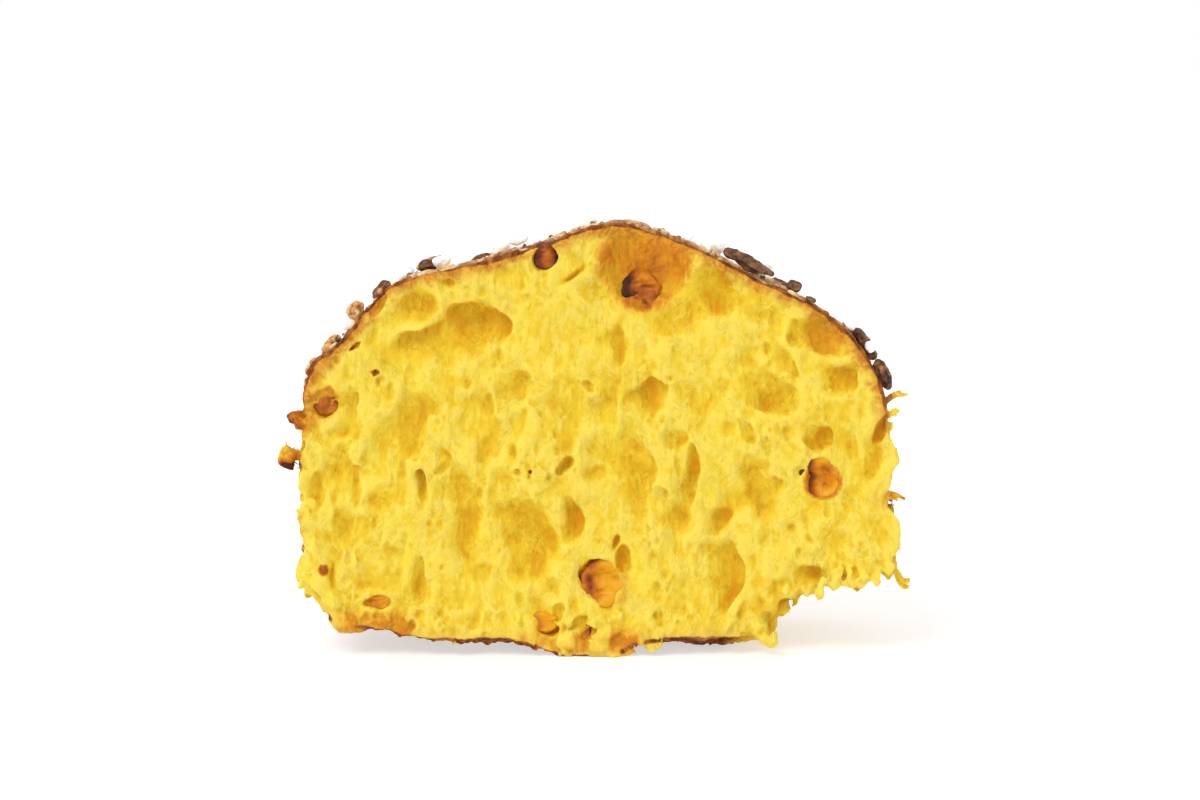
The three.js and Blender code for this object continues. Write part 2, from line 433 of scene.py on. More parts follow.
class VoxelField:
    """Signed distances on a regular grid, negative inside the solid."""

    def __init__(self, low: Array, high: Array, voxel: float) -> None:
        """Lays the grid over a box, in millimetres.

        Args:
            low: The box's lowest corner.
            high: Its highest corner.
            voxel: The distance between grid points.
        """
        self.voxel = voxel
        self.low = np.asarray(low, float)
        self.first = np.floor(self.low / voxel).astype(int)
        last = np.ceil(np.asarray(high) / voxel).astype(int)
        self.shape = tuple(int(n) for n in last - self.first + 1)
        self.axes = [(self.first[i] + np.arange(self.shape[i])) * voxel for i in range(3)]
        self.values = np.zeros(self.shape, np.float32)

    @property
    def corner(self) -> tuple[int, int, int]:
        """The grid's first voxel."""
        return tuple(int(n) for n in self.first)

    def coordinates(self, block: tuple[slice, ...] | None = None) -> list[Array]:
        """X, Y and Z of a block of the grid, shaped to broadcast."""
        axes = [axis[cut] for axis, cut in zip(self.axes, block)] if block else self.axes
        return list(np.meshgrid(*axes, indexing="ij", sparse=True))

    def fill_from(self, points: Array, triangles: Array, band: int) -> None:
        """Takes the signed distance to a closed mesh, up to band voxels from it.

        Args:
            points: The mesh's points.
            triangles: Its triangles, as point numbers.
            band: How many voxels away the distance is known.
        """
        transform = openvdb.createLinearTransform(voxelSize=self.voxel)
        level = openvdb.FloatGrid.createLevelSetFromPolygons(
            points, triangles=triangles.astype(np.uint32), transform=transform, halfWidth=band
        )
        self.values[:] = band * self.voxel
        level.copyToArray(self.values, ijk=self.corner)

    def noise(self, spacing: Triple, seed: int) -> Array:
        """Smooth noise over the grid with a spread of about 1, from a seeded lattice.

        Args:
            spacing: The size of the bumps along each axis.
            seed: Picks the pattern.

        Returns:
            One value for each voxel.
        """
        weights = [spline_weights(self.axes[i], self.low[i] - self.voxel, spacing[i]) for i in range(3)]
        counts = [w.shape[1] for w in weights]
        values = np.random.default_rng(seed).standard_normal(counts).astype(np.float32)
        for weight in weights:
            values = np.tensordot(values, weight, axes=(0, 1))
        return values * 3.0

    def block(self, centre: Triple, reach: float) -> tuple[slice, ...]:
        """The part of the grid within reach of a centre.

        Args:
            centre: The middle of the block.
            reach: How far it goes each way.

        Returns:
            One slice for each axis.
        """
        cuts = []
        for i in range(3):
            start = int((centre[i] - reach) / self.voxel) - self.first[i]
            stop = int((centre[i] + reach) / self.voxel) - self.first[i] + 2
            cuts.append(slice(max(int(start), 0), max(int(stop), 0)))
        return tuple(cuts)

    def prepare_bends(self, spacing: Triple, seed: int) -> None:
        """Makes the slow noises that bend the outlines of holes and threads."""
        self.bends = tuple(self.noise(spacing, seed + step) for step in range(3))

    def carve(self, cavity: Cavity) -> None:
        """Takes a cavity out of the solid.

        Args:
            cavity: The hole to make.
        """
        block = self.block(cavity.centre, cavity.reach())
        solid = self.values[block]
        if not solid.size:
            return
        x, y, z = self.coordinates(block)
        bend = cavity.bend()
        x = x + bend * self.bends[0][block]
        z = z + bend * self.bends[1][block]
        hole = cavity.distance(x, y, z) + 0.4 * bend * self.bends[2][block]
        self.values[block] = smooth_max(solid, -hole, cavity.soft)

    def add_thread(self, start: Triple, end: Triple, radius: float) -> None:
        """Joins a ragged, tapering thread to the solid.

        Args:
            start: Where it is thick.
            end: Where it ends, thin.
            radius: Half its thickness at the start.
        """
        middle = tuple((a + b) / 2 for a, b in zip(start, end))
        length = math.dist(start, end)
        block = self.block(middle, length / 2 + 3 * radius)
        x, y, z = self.coordinates(block)
        x = x + radius * 0.9 * self.bends[0][block]
        z = z + radius * 0.9 * self.bends[1][block]
        along = [b - a for a, b in zip(start, end)]
        share = (x - start[0]) * along[0] + (y - start[1]) * along[1] + (z - start[2]) * along[2]
        share = np.clip(share / max(length**2, 1e-6), 0, 1)
        gap = np.sqrt(
            (x - start[0] - share * along[0]) ** 2
            + (y - start[1] - share * along[1]) ** 2
            + (z - start[2] - share * along[2]) ** 2
        )
        thread = gap - radius * (1.1 - 0.6 * share) + self.bends[2][block] * radius * 0.45
        self.values[block] = -smooth_max(-self.values[block], -thread, radius * 0.7)

    def slope(self, values: Array, place: Array) -> Array:
        """The direction in which the distance grows fastest at one place.

        Args:
            values: One value for each voxel.
            place: The place, in millimetres.

        Returns:
            A direction of length 1.
        """
        step = 0.8 * np.eye(3)
        ends = self.sample(values, np.vstack([place + step, place - step]))
        rise = ends[:3] - ends[3:]
        return rise / max(float(np.linalg.norm(rise)), 1e-6)

    def blurred_fill(self, radius: float) -> Array:
        """How much of the space around each voxel is solid, from 0 to 1.

        Args:
            radius: How far around it looks, in millimetres.

        Returns:
            One share for each voxel.
        """
        fill = np.clip(0.5 - self.values / self.voxel, 0, 1)
        steps = max(int(round(radius / self.voxel)), 1)
        for axis in range(3):
            total = np.cumsum(fill, axis=axis, dtype=np.float32)
            size = fill.shape[axis]
            upper = np.minimum(np.arange(size) + steps, size - 1)
            lower = np.arange(size) - steps - 1
            low_part = np.take(total, np.maximum(lower, 0), axis=axis)
            shape = [1, 1, 1]
            shape[axis] = size
            low_part *= (lower >= 0).reshape(shape)
            fill = (np.take(total, upper, axis=axis) - low_part) / (2 * steps + 1)
        return fill

    def sample(self, values: Array, points: Array) -> Array:
        """Reads grid values at any points, blending between voxels.

        Args:
            values: One value for each voxel.
            points: Places in millimetres.

        Returns:
            One value for each point.
        """
        place = points / self.voxel - self.first
        cell = np.clip(np.floor(place).astype(int), 0, np.array(self.shape) - 2)
        share = np.clip(place - cell, 0, 1)
        total = np.zeros(len(points))
        for offset, weight in cube_corners(share):
            i, j, k = (cell + offset).T
            total += weight * values[i, j, k]
        return total

    def surface(self, values: Array, least: int) -> tuple[Array, Array]:
        """The outer skin of a solid on this grid, as points and four-sided faces.

        Args:
            values: Signed distances, negative inside.
            least: The fewest points that a separate part of it may have.

        Returns:
            Points in millimetres and point numbers, four a row.
        """
        level = openvdb.FloatGrid(3 * self.voxel)
        level.copyFromArray(values, ijk=self.corner)
        level.transform = openvdb.createLinearTransform(voxelSize=self.voxel)
        points, quads = level.convertToQuads(isovalue=0)
        return shells(points.astype(float), quads.astype(np.int64)[:, ::-1], least)


# ---------------------------------------------------------------------------
# The baked slice
# ---------------------------------------------------------------------------


@dataclass(frozen=True)
class Hollow:
    """One named air hole in the front cut face: its middle, its opening, its depth and its turn.

    soft is how rounded its rim is, stain how brown its wall is coloured, from 0 to 1, and lean which way it
    runs as it goes deeper, which is the side where its rim is crisp.
    """

    x: float
    z: float
    width: float
    height: float
    depth: float
    tilt: float = 0.0
    soft: float = 0.6
    stain: float = 0.0
    lean: tuple[float, float] = (0.6, 0.1)

    def cavity(self, face_y: float) -> Cavity:
        """The hole as a cavity that opens at the cut face."""
        radii = (self.width / 2, self.depth, self.height / 2)
        return Cavity((self.x, face_y, self.z), radii, self.tilt, self.soft, 0.22, self.lean)


@dataclass(frozen=True)
class Shred:
    """A torn tab or strand that sticks out of the slice, from one end to the other."""

    start: Triple
    end: Triple
    radius: float
    stain: float = 0.0
    strands: int = 3


# Holes that give the front face its look, from the dome down to the base.
HOLLOWS = tuple(Hollow(*row) for row in (
    (8.8, 82.0, 15.6, 15.5, 3.7, -8, 2.7, 0.9, (0.5, 0.5)),
    (8.3, 76.8, 8.8, 7.8, 3.2, -25, 0.4, 0.75, (0.0, 0.0)),
    (-28.0, 68.8, 16.0, 12.6, 4.0, 12, 1.6, 0.16, (0.5, 0.4)),
    (-38.2, 64.6, 15.5, 6.6, 2.4, 22, 2.2, 0.1, (0.3, 0.3)),
    (-38.9, 73.4, 7.0, 5.6, 2.2, 30, 1.9, 0.22, (0.2, 0.5)),
    (-31.8, 78.3, 4.2, 2.0, 1.6, -6, 0.5, 0.2),
    (-45.9, 74.0, 2.6, 5.4, 1.6, -30, 0.6, 0.5),
    (-5.8, 80.0, 6.6, 1.5, 1.6, 38, 0.5, 0.2),
    (-2.0, 75.6, 4.6, 4.4, 1.4, 0, 1.6, 0.06),
    (21.8, 74.6, 12.5, 11.0, 3.2, 12, 2.4, 0.0, (0.8, 0.0)),
    (46.2, 67.8, 10.4, 8.2, 3.5, -36, 1.1, 0.32, (-0.2, -0.3)),
    (39.9, 69.0, 1.5, 4.0, 1.6, 6, 0.5, 0.15),
    (48.6, 58.6, 10.4, 5.6, 2.3, -30, 1.4, 0.0, (0.9, 0.3)),
    (34.7, 54.6, 9.0, 7.6, 2.9, 10, 1.2, 0.0, (0.8, 0.2)),
    (9.2, 53.6, 8.2, 7.4, 2.7, 0, 1.2, 0.06, (0.5, 0.4)),
    (3.3, 64.6, 3.4, 11.2, 2.3, -3, 0.9, 0.0, (0.3, 0.3)),
    (-1.0, 52.2, 12.0, 5.0, 1.6, 34, 2.2),
    (25.9, 47.2, 3.4, 3.4, 1.3, 0, 0.8),
    (15.4, 46.0, 5.8, 4.6, 1.6, 0, 1.6, 0.1),
    (17.6, 54.6, 5.0, 6.0, 1.4, 20, 1.9),
    (-58.5, 34.6, 3.4, 9.2, 1.6, 0, 1.1, 0.0, (0.3, 0.5)),
    (-50.8, 35.4, 2.4, 9.0, 2.0, 2, 0.5, 0.0, (0.1, 0.9)),
    (-37.0, 36.0, 2.4, 8.0, 2.0, 2, 0.5, 0.0, (0.1, 0.9)),
    (-54.9, 33.3, 1.2, 3.6, 1.0, 0, 0.4, 0.0, (0.0, 0.6)),
    (-41.2, 33.3, 1.2, 3.8, 1.0, 0, 0.4, 0.0, (0.0, 0.6)),
    (-47.2, 28.6, 4.6, 4.0, 1.2, 0, 1.6),
    (-7.5, 40.3, 2.6, 5.4, 1.9, -38, 0.5, 0.06, (0.3, 0.2)),
    (-6.6, 28.7, 6.6, 9.0, 3.0, 14, 0.9, 0.0, (0.7, 0.2)),
    (-28.1, 29.0, 6.4, 16.5, 2.0, -4, 2.0, 0.0, (0.4, -0.5)),
    (-14.8, 24.5, 11.5, 15.0, 2.9, 10, 3.2, 0.04, (0.4, -0.2)),
    (-38.3, 16.6, 4.2, 10.8, 2.0, -6, 1.2, 0.0, (0.8, 0.3)),
    (-42.6, 21.2, 6.0, 4.4, 1.3, 0, 1.4, 0.06, (0.4, 0.6)),
    (-25.5, 17.4, 4.0, 4.8, 1.6, 10, 0.9),
    (-31.0, 10.8, 3.4, 4.4, 1.3, 0, 1.2),
    (-14.1, 10.6, 3.8, 4.2, 1.4, 0, 1.1, 0.1),
    (2.0, 15.2, 10.2, 9.6, 2.3, -28, 0.7, 0.22, (0.0, 0.0)),
    (-0.6, 14.2, 5.4, 5.0, 3.8, -30, 0.4, 0.22, (0.0, 0.0)),
    (5.2, 20.6, 3.6, 6.8, 3.0, 16, 0.5, 0.12, (0.2, 0.1)),
    (3.2, 24.0, 2.2, 4.6, 2.0, -8, 0.4, 0.08, (0.1, 0.2)),
    (45.5, 45.6, 6.6, 6.8, 3.2, -20, 0.5, 0.14, (0.2, 0.2)),
    (46.2, 37.1, 8.2, 8.4, 3.2, -24, 0.35, 0.5, (0.0, 0.0)),
    (18.0, 38.6, 3.6, 13.6, 2.4, -9, 0.9, 0.0, (0.7, 0.0)),
    (15.0, 28.6, 6.0, 8.4, 1.9, -14, 1.6, 0.0, (0.8, 0.2)),
    (24.4, 28.4, 5.6, 6.4, 2.4, 0, 0.7, 0.0, (0.4, 0.2)),
    (25.4, 16.6, 6.6, 13.4, 2.9, -4, 1.1, 0.0, (1.0, 0.0)),
    (31.5, 39.6, 6.0, 5.0, 1.4, 0, 1.9),
    (43.1, 16.6, 7.2, 5.0, 2.3, -8, 1.1, 0.08, (0.5, 0.5)),
    (38.4, 10.8, 4.6, 3.6, 1.9, -20, 0.9, 0.06),
    (55.5, 40.6, 4.4, 10.6, 1.9, -4, 1.4, 0.0, (0.6, 0.0)),
    (58.0, 47.7, 2.4, 8.6, 2.4, -22, 0.5, 0.55, (0.0, 0.0)),
    (5.6, 40.2, 9.0, 9.2, 1.6, 0, 2.7),
    (-39.7, 47.4, 7.0, 9.2, 1.7, 0, 1.9, 0.05),
    (-27.6, 48.4, 5.0, 4.6, 1.4, 0, 1.2, 0.05),
    (-18.0, 57.0, 6.0, 5.0, 1.3, 20, 2.0),
    (-38.8, 57.3, 2.6, 2.4, 1.1, 0, 0.7),
    (28.2, 62.0, 5.0, 4.4, 1.2, 0, 1.6),
    (-46.3, 59.9, 1.5, 1.3, 1.4, 0, 0.2, 1.0, (0.0, 0.0)),
    (-50.4, 65.4, 0.8, 2.8, 1.0, -50, 0.2, 0.9, (0.0, 0.0)),
    (-14.4, 39.2, 0.8, 0.8, 0.8, 0, 0.2, 0.8, (0.0, 0.0)),
    (-57.6, 18.4, 2.2, 2.4, 1.0, 20, 0.5, 0.75, (0.0, 0.0)),
    (-46.6, 18.6, 2.2, 0.9, 0.8, -20, 0.3, 0.6, (0.0, 0.0)),
    (39.0, 27.1, 2.6, 2.4, 1.2, 0, 0.7),
    (-56.6, 53.8, 6.6, 6.6, 1.4, 0, 1.1, 0.34, (0.0, 0.0)),
))

# Torn tabs at the left, strands at the right, and the lumps of crust under the base.
SHREDS = tuple(Shred(*row) for row in (
    ((-60.2, -16.8, 49.8), (-64.0, -17.2, 49.6), 2.0, 0.9, 8),
    ((-60.2, -16.8, 48.0), (-63.2, -17.2, 47.8), 1.3, 0.8, 4),
    ((-59.8, -16.8, 41.8), (-63.8, -17.2, 41.6), 1.3, 0.36, 6),
    ((-64.2, -17.2, 41.6), (-64.5, -17.4, 40.2), 1.5, 1.6, 7),
    ((-59.4, -16.6, 30.2), (-63.8, -16.8, 29.8), 2.0, 0.22, 10),
    ((-60.0, -16.6, 28.0), (-63.4, -16.8, 27.4), 1.5, 0.36, 6),
    ((59.6, -17.6, 53.2), (63.8, -18.0, 54.6), 1.1, 0.0, 3),
    ((59.8, -17.6, 50.6), (62.6, -18.0, 51.4), 0.9, 0.1, 3),
    ((57.4, -17.2, 33.2), (63.0, -18.0, 32.9), 1.4, 0.45, 4),
    ((54.0, -15.6, 20.2), (66.8, -16.8, 15.4), 1.7, 0.0, 2),
    ((51.0, -16.4, 20.0), (60.6, -17.8, 17.6), 1.2, 0.0, 3),
    ((51.6, -17.0, 17.0), (55.0, -17.8, 12.0), 1.4, 0.35, 4),
    ((-53.0, -17.0, 7.2), (-41.6, -17.2, 6.0), 2.0, 0.36, 8),
    ((-16.0, -16.8, 4.2), (-9.0, -17.0, 2.8), 1.4, 0.3, 4),
    ((-7.0, -16.8, 2.8), (6.6, -17.0, 2.6), 2.0, 0.42, 8),
    ((-57.4, -16.6, 12.4), (-60.0, -16.8, 19.5), 2.6, 0.0, 9),
))


@dataclass
class CakeSlice:
    """The baked slice: crumb, crust and torn edges, as a front and a back half of one piece.

    Lengths are in millimetres. undulation, tear and fringe say how far noise moves the faces, the
    torn corner and the sides. pocket and opening values say how the peel's pockets are filled and
    opened again. skin values say what counts as baked skin, and fibre, grain and lumps how far the
    finished surface is pulled in and out.
    """

    voxel: float = 0.4
    margin: float = 5.2
    band: int = 15
    kept_share: float = 0.6
    undulation: float = 0.34
    fine_undulation: float = 0.14
    tear: float = 1.7
    fringe: float = 0.5
    pocket_room: float = 1.6
    pocket_clear: float = 1.7
    behind_pockets: float = 8.0
    opening_share: float = 0.92
    opening_wobble: float = 0.36
    dome_from: float = 50.0
    skin_room: float = 1.0
    skin_slope: float = 0.6
    skin_reach: float = 9.0
    fibre: float = 0.14
    grain: float = 0.13
    lumps: float = 0.13
    near_radius: float = 0.9
    far_radius: float = 2.8
    fewest_points: int = 20000
    bowl_tries: int = 240
    pore_tries: int = 6000
    back_tries: int = 70
    tear_slope: float = 0.9
    tear_height: float = 12.0
    seed: int = 11
    halves: list[Piece] = field(default_factory=list)

    def __post_init__(self) -> None:
        """Reads the slice's box and sets up the voxel grid."""
        low, high = self.low, self.high = box_of("cake_slice")
        self.field = VoxelField(low - self.margin, high + self.margin, self.voxel)
        self.random = np.random.default_rng(self.seed)
        self.peel_nodes = nodes_of("candied_peel")

    def build(self) -> list[Piece]:
        """Carves the crumb and makes its two halves.

        Returns:
            Both halves.
        """
        self.fill_solid()
        self.roughen()
        self.baked = self.field.values.copy()
        self.field.prepare_bends((2.8, 2.8, 3.6), self.seed + 5)
        for face in Face:
            self.carve_bowls(face)
        for hollow in HOLLOWS:
            self.field.carve(hollow.cavity(self.low[1]))
        self.carve_back()
        for face in Face:
            self.carve_pores(face)
        self.open_pockets()
        for shred in SHREDS:
            self.add_shred(shred)
        z = self.field.coordinates()[2]
        np.maximum(self.field.values, -z, out=self.field.values)
        points, faces = self.field.surface(self.field.values, self.fewest_points)
        LOG.info("crumb: %d points, %d faces", len(points), len(faces))
        mesh = make_mesh("crumb", points, faces)
        move_points(mesh, self.pull_fibres(mesh))
        mesh = modified(mesh, "DECIMATE", ratio=self.kept_share)
        for title, values in self.marks(points_of(mesh)).items():
            set_mark(mesh, title, values)
        self.halves = self.split(mesh)
        return self.halves

    def dress(self, finish: Finish) -> None:
        """Gives both halves their finish and makes them stand for the CAD slice."""
        for half in self.halves:
            half.data.materials.append(finish)
            settle(half, Slot.CRUMB, "cake_slice")

    def fill_solid(self) -> None:
        """Takes the CAD slice's shape, with the pockets for the peel filled in."""
        self.field.fill_from(*triangles_of("cake_slice"), band=self.band)
        behind = int((self.low[1] + self.behind_pockets) / self.voxel) - self.field.first[1]
        outline = self.field.values[:, behind, :].copy()
        for node in self.peel_nodes:
            low, high = box_of(node)
            ends = zip(low - 2 * self.pocket_room, high + 2 * self.pocket_room)
            cuts = tuple(slice(*np.searchsorted(a, pair)) for a, pair in zip(self.field.axes, ends))
            y = self.field.coordinates(cuts)[1]
            whole = np.maximum(outline[cuts[0], cuts[2]][:, None, :], self.low[1] - y)
            self.field.values[cuts] = whole

    def roughen(self) -> None:
        """Makes the faces uneven, frays the sides and tears the lower right corner."""
        values = self.field.values
        x, _, z = self.field.coordinates()
        broad = self.field.noise((9.0, 9.0, 9.0), self.seed)
        mid = self.field.noise((3.0, 3.0, 3.8), self.seed + 1)
        small = self.field.noise((1.5, 1.5, 2.0), self.seed + 2)
        fray = self.field.noise((0.9, 0.9, 1.2), self.seed + 3)
        values += self.undulation * broad + self.fine_undulation * mid
        torn = smooth_step(28, 40, self.past_tear(x, z)) * smooth_step(24, 15, z)
        values += self.tear * torn * (0.45 * mid + 0.4 * small + 0.35 * fray + 0.1)
        sides = smooth_step(3.0, 0.5, np.abs(np.abs(x) - 61.5)) * smooth_step(55, 48, z)
        values += self.fringe * sides * (0.8 * small + 0.7 * fray)
        under = smooth_step(14.0, 8.0, z) * smooth_step(30.0, 20.0, x)
        values += self.fringe * under * (0.6 * small + 0.5 * fray)

    def past_tear(self, x: Array, z: Array) -> Array:
        """How far to the right of the slanted tear a place is, counted along X."""
        return x + self.tear_slope * (self.tear_height - z)

    def cut_y(self, face: Face) -> float:
        """Where a cut face is along Y."""
        return self.low[1] if face is Face.FRONT else self.high[1]

    def inside_faces(self, face: Face, depth: float, edge: float, tries: int) -> Array:
        """Random places on a cut face that are well inside its outline.

        Args:
            face: The cut face.
            depth: How far behind the face the solid is tested.
            edge: The least distance to the solid's skin there.
            tries: How many places are drawn.

        Returns:
            X and Z of the places that are inside, one row each.
        """
        places = np.empty((tries, 3))
        places[:, 0] = self.random.uniform(self.low[0], self.high[0], tries)
        places[:, 1] = self.cut_y(face) - face.value * depth
        places[:, 2] = self.random.uniform(self.low[2], self.high[2], tries)
        keep = self.field.sample(self.field.values, places) < -edge
        return places[keep][:, [0, 2]]

    def lean_of(self, face: Face) -> tuple[float, float]:
        """A random lean for a hole in a cut face, mostly to the right and a little up."""
        across = self.random.normal(0.5, 0.4)
        return (-face.value * across, -face.value * self.random.normal(0.1, 0.4))

    def carve_bowls(self, face: Face) -> None:
        """Opens the broad shallow cells that the knife cut through.

        Args:
            face: The cut face.
        """
        face_y = self.cut_y(face)
        for x, z in self.inside_faces(face, 4.0, 2.5, self.bowl_tries):
            wide = self.random.uniform(1.3, 3.6)
            tall = wide * self.random.uniform(1.0, 2.0)
            deep = wide * self.random.uniform(0.42, 0.68)
            share = self.random.uniform(0.15, 0.5)
            centre = (x, face_y + face.value * deep * share, z)
            tilt = x * 0.16 + self.random.normal(0, 16)
            soft = self.random.uniform(0.6, 1.5)
            self.field.carve(Cavity(centre, (wide, deep, tall), tilt, soft, 0.3, self.lean_of(face)))

    def carve_pores(self, face: Face) -> None:
        """Opens the small pores, in patches, most of them pulled upright.

        Args:
            face: The cut face.
        """
        face_y = self.cut_y(face)
        places = self.inside_faces(face, 2.4, 1.0, self.pore_tries)
        flat = np.column_stack([places[:, 0], np.full(len(places), 7.0 * face.value), places[:, 1]])
        crowded = noise_at(flat, 11.0, self.seed + 7) + 0.9 * noise_at(flat, 5.0, self.seed + 8)
        flat[:, 1] = face_y
        bulges = np.clip(-self.field.sample(self.field.values, flat), 0.0, 1.2)
        for (x, z), crowd, bulge in zip(places, crowded, bulges):
            wide = min(0.36 + 0.2 * self.random.exponential(1.0), 1.3)
            if crowd < self.random.uniform(-0.7, 1.0):
                continue
            tall = wide * self.random.uniform(1.0, 2.3)
            deep = wide * 0.7
            outwards = bulge + deep * self.random.uniform(-0.4, 0.3)
            centre = (x, face_y + face.value * outwards, z)
            tilt = x * 0.16 + self.random.normal(0, 18)
            self.field.carve(Cavity(centre, (wide, deep, tall), tilt, 0.3, 0.3))

    def carve_back(self) -> None:
        """Opens the back face's larger holes."""
        for x, z in self.inside_faces(Face.BACK, 4.0, 3.0, self.back_tries):
            wide = self.random.uniform(1.6, 5.4)
            tall = wide * self.random.uniform(0.9, 1.7)
            deep = self.random.uniform(2.0, 4.6)
            soft = self.random.uniform(0.4, 1.6)
            lean = self.lean_of(Face.BACK)
            self.field.carve(Cavity((x, self.high[1], z), (wide, deep, tall), x * 0.2, soft, 0.22, lean))

    def open_pockets(self) -> None:
        """Opens the crumb in front of each piece of peel."""
        for node in self.peel_nodes:
            low, high = box_of(node)
            middle, half = (low + high) / 2, (high - low) / 2 * self.opening_share
            dish, lift = CandiedPeel.PIECES[node][3:]
            centre = (float(middle[0]), float(self.low[1]), float(middle[2]) + lift)
            depth = max(low[1] - self.low[1], 0.0) + dish + self.pocket_clear
            self.field.carve(Cavity(centre, (half[0], depth, half[2]), 0, 0.3, self.opening_wobble))

    def add_shred(self, shred: Shred) -> None:
        """Builds a shred from a few strands that part towards its end.

        Args:
            shred: The tab or strand.
        """
        start, end = np.array(shred.start), np.array(shred.end)
        for _ in range(shred.strands):
            spread = self.random.uniform(-1, 1, 3) * (0.4, 0.15, 0.8) * shred.radius
            reach = self.random.uniform(0.7, 1.0)
            tip = start + (end - start) * reach + spread
            root = start + spread * 0.5
            self.field.add_thread(tuple(root), tuple(tip), shred.radius * self.random.uniform(0.45, 0.8))

    def pull_fibres(self, mesh: Mesh) -> Array:
        """Moves points in and out along their normals, as upright silky fibres and a fine grain.

        Args:
            mesh: The crumb.

        Returns:
            The points' new places.
        """
        points, normals = points_of(mesh), normals_of(mesh)
        lean = points[:, 0] * 0.0028
        combed = points.copy()
        combed[:, 0] += lean * points[:, 2] + 1.2 * noise_at(points, 7.0, self.seed + 20)
        strands = 1 - 2 * np.abs(noise_at(combed, (1.1, 1.1, 4.6), self.seed + 21))
        grain = noise_at(points, 0.9, self.seed + 22)
        lumps = noise_at(combed, (2.0, 2.0, 3.6), self.seed + 23)
        shift = self.fibre * strands + self.grain * grain + self.lumps * lumps
        above = smooth_step(0.0, 1.2, points[:, 2])
        return points + normals * (shift * above)[:, None]

    def marks(self, points: Array) -> dict[str, Array]:
        """Works out the values that colour the slice, one for each point.

        Args:
            points: The crumb's points.

        Returns:
            Named values: crust, how far under the skin; dome and base, which skin is nearest; deep, how far
                below the cut, which also paints shade; fold, how sunken, for painted shade; pore, the same
                close by, for painted shade in the pores; stain, how brown a hole's wall or a torn tab is
                coloured; torn, how ragged.
        """
        marks = self.skin_marks(points)
        marks["deep"] = np.minimum(points[:, 1] - self.low[1], self.high[1] - points[:, 1])
        near = self.field.sample(self.field.blurred_fill(self.near_radius), points)
        far = self.field.sample(self.field.blurred_fill(self.far_radius), points)
        # Painted shade: how enclosed each point is by crumb, which the colour turns into darker golden in the
        # hollows and pores.
        marks["fold"] = 0.4 * near + 0.6 * far
        marks["pore"] = near
        stain = np.zeros(len(points))
        for hollow in HOLLOWS:
            if hollow.stain:
                share, _ = hollow.cavity(self.low[1]).roundness(*points.T)
                edge = smooth_step(1.1 + 0.2 * hollow.soft, 0.92 - 0.16 * hollow.soft, share)
                stain = np.maximum(stain, hollow.stain * edge)
        for shred in SHREDS:
            if shred.stain:
                stain = np.maximum(stain, shred.stain * self.near_shred(shred, points))
        marks["stain"] = stain
        x, z = points[:, 0], points[:, 2]
        corner = smooth_step(34, 42, self.past_tear(x, z)) * smooth_step(24, 18, z)
        left = smooth_step(-59.5, -61.0, x) * smooth_step(54, 50, z) * smooth_step(10, 14, z)
        right = smooth_step(58.5, 60.5, x) * smooth_step(56, 52, z)
        cut = smooth_step(6.0, 3.0, marks["deep"])
        marks["torn"] = np.clip(corner + (left + right) * cut, 0, 1)
        return marks

    @staticmethod
    def near_shred(shred: Shred, points: Array) -> Array:
        """How strongly each point belongs to a shred's browned part, from 0 to 1.

        Args:
            shred: The tab or strand.
            points: Places in millimetres.

        Returns:
            One value for each point.
        """
        start, end = np.array(shred.start), np.array(shred.end)
        along = end - start
        share = np.clip((points - start) @ along / (along @ along), 0, 1)
        gap = np.linalg.norm(points - start - share[:, None] * along, axis=1)
        wide = np.linalg.norm(along) > 6.0
        browned = 1.0 if wide else 0.35 + 0.65 * share
        return smooth_step(2.0 * shred.radius + 1.0, 0.9 * shred.radius, gap) * browned

    def skin_marks(self, points: Array) -> dict[str, Array]:
        """How far each point is from the baked skin, and which part of the skin is nearest.

        Args:
            points: The crumb's points.

        Returns:
            The values named crust, dome and base.
        """
        corners, triangles = triangles_of("cake_slice")
        edges = corners[triangles]
        across = np.cross(edges[:, 1] - edges[:, 0], edges[:, 2] - edges[:, 0])
        across /= np.maximum(np.linalg.norm(across, axis=1, keepdims=True), 1e-9)
        middle = edges.mean(axis=1)
        skin = np.abs(across[:, 1]) < self.skin_slope
        for node in self.peel_nodes:
            low, high = box_of(node)
            inside = np.all((middle > low - self.pocket_room) & (middle < high + self.pocket_room), axis=1)
            skin &= ~inside
        tree = BVHTree.FromPolygons(corners.tolist(), triangles[skin].tolist())
        reach = self.skin_reach
        nearest = [tree.find_nearest(point, reach) for point in points.tolist()]
        crust = np.array([near[3] if near[3] is not None else reach for near in nearest])
        found = [(Vector(p), *near[:2]) for p, near in zip(points, nearest)]
        over = [spot is not None and (p - spot).dot(out) > 0 for p, spot, out in found]
        height = np.array([spot.z if spot else 0.0 for _, spot, _ in found])
        up = np.array([out.z if out else 0.0 for *_, out in found])
        dome = smooth_step(self.dome_from - 5, self.dome_from + 5, height)
        behind_cut = smooth_step(0.4, 2.2, self.high[1] - np.abs(points[:, 1]))
        room = self.skin_room * np.maximum(dome, behind_cut)
        crust = np.where(over, np.maximum(crust - room, 0.0), crust)
        return {"crust": crust, "dome": dome, "base": smooth_step(0.25, 0.75, -up)}

    def split(self, mesh: Mesh) -> list[Piece]:
        """Cuts the slice at mid depth into a front and a back half, each closed at the cut.

        Args:
            mesh: The whole crumb.

        Returns:
            The front half and the back half.
        """
        halves = []
        for name, face in (("crumb_front_half", Face.FRONT), ("crumb_back_half", Face.BACK)):
            half = mesh.copy()
            half.name = name
            self.cut_and_close(half, face)
            halves.append(link(name, half))
            LOG.info("%s: %d faces", name, len(half.polygons))
        return halves

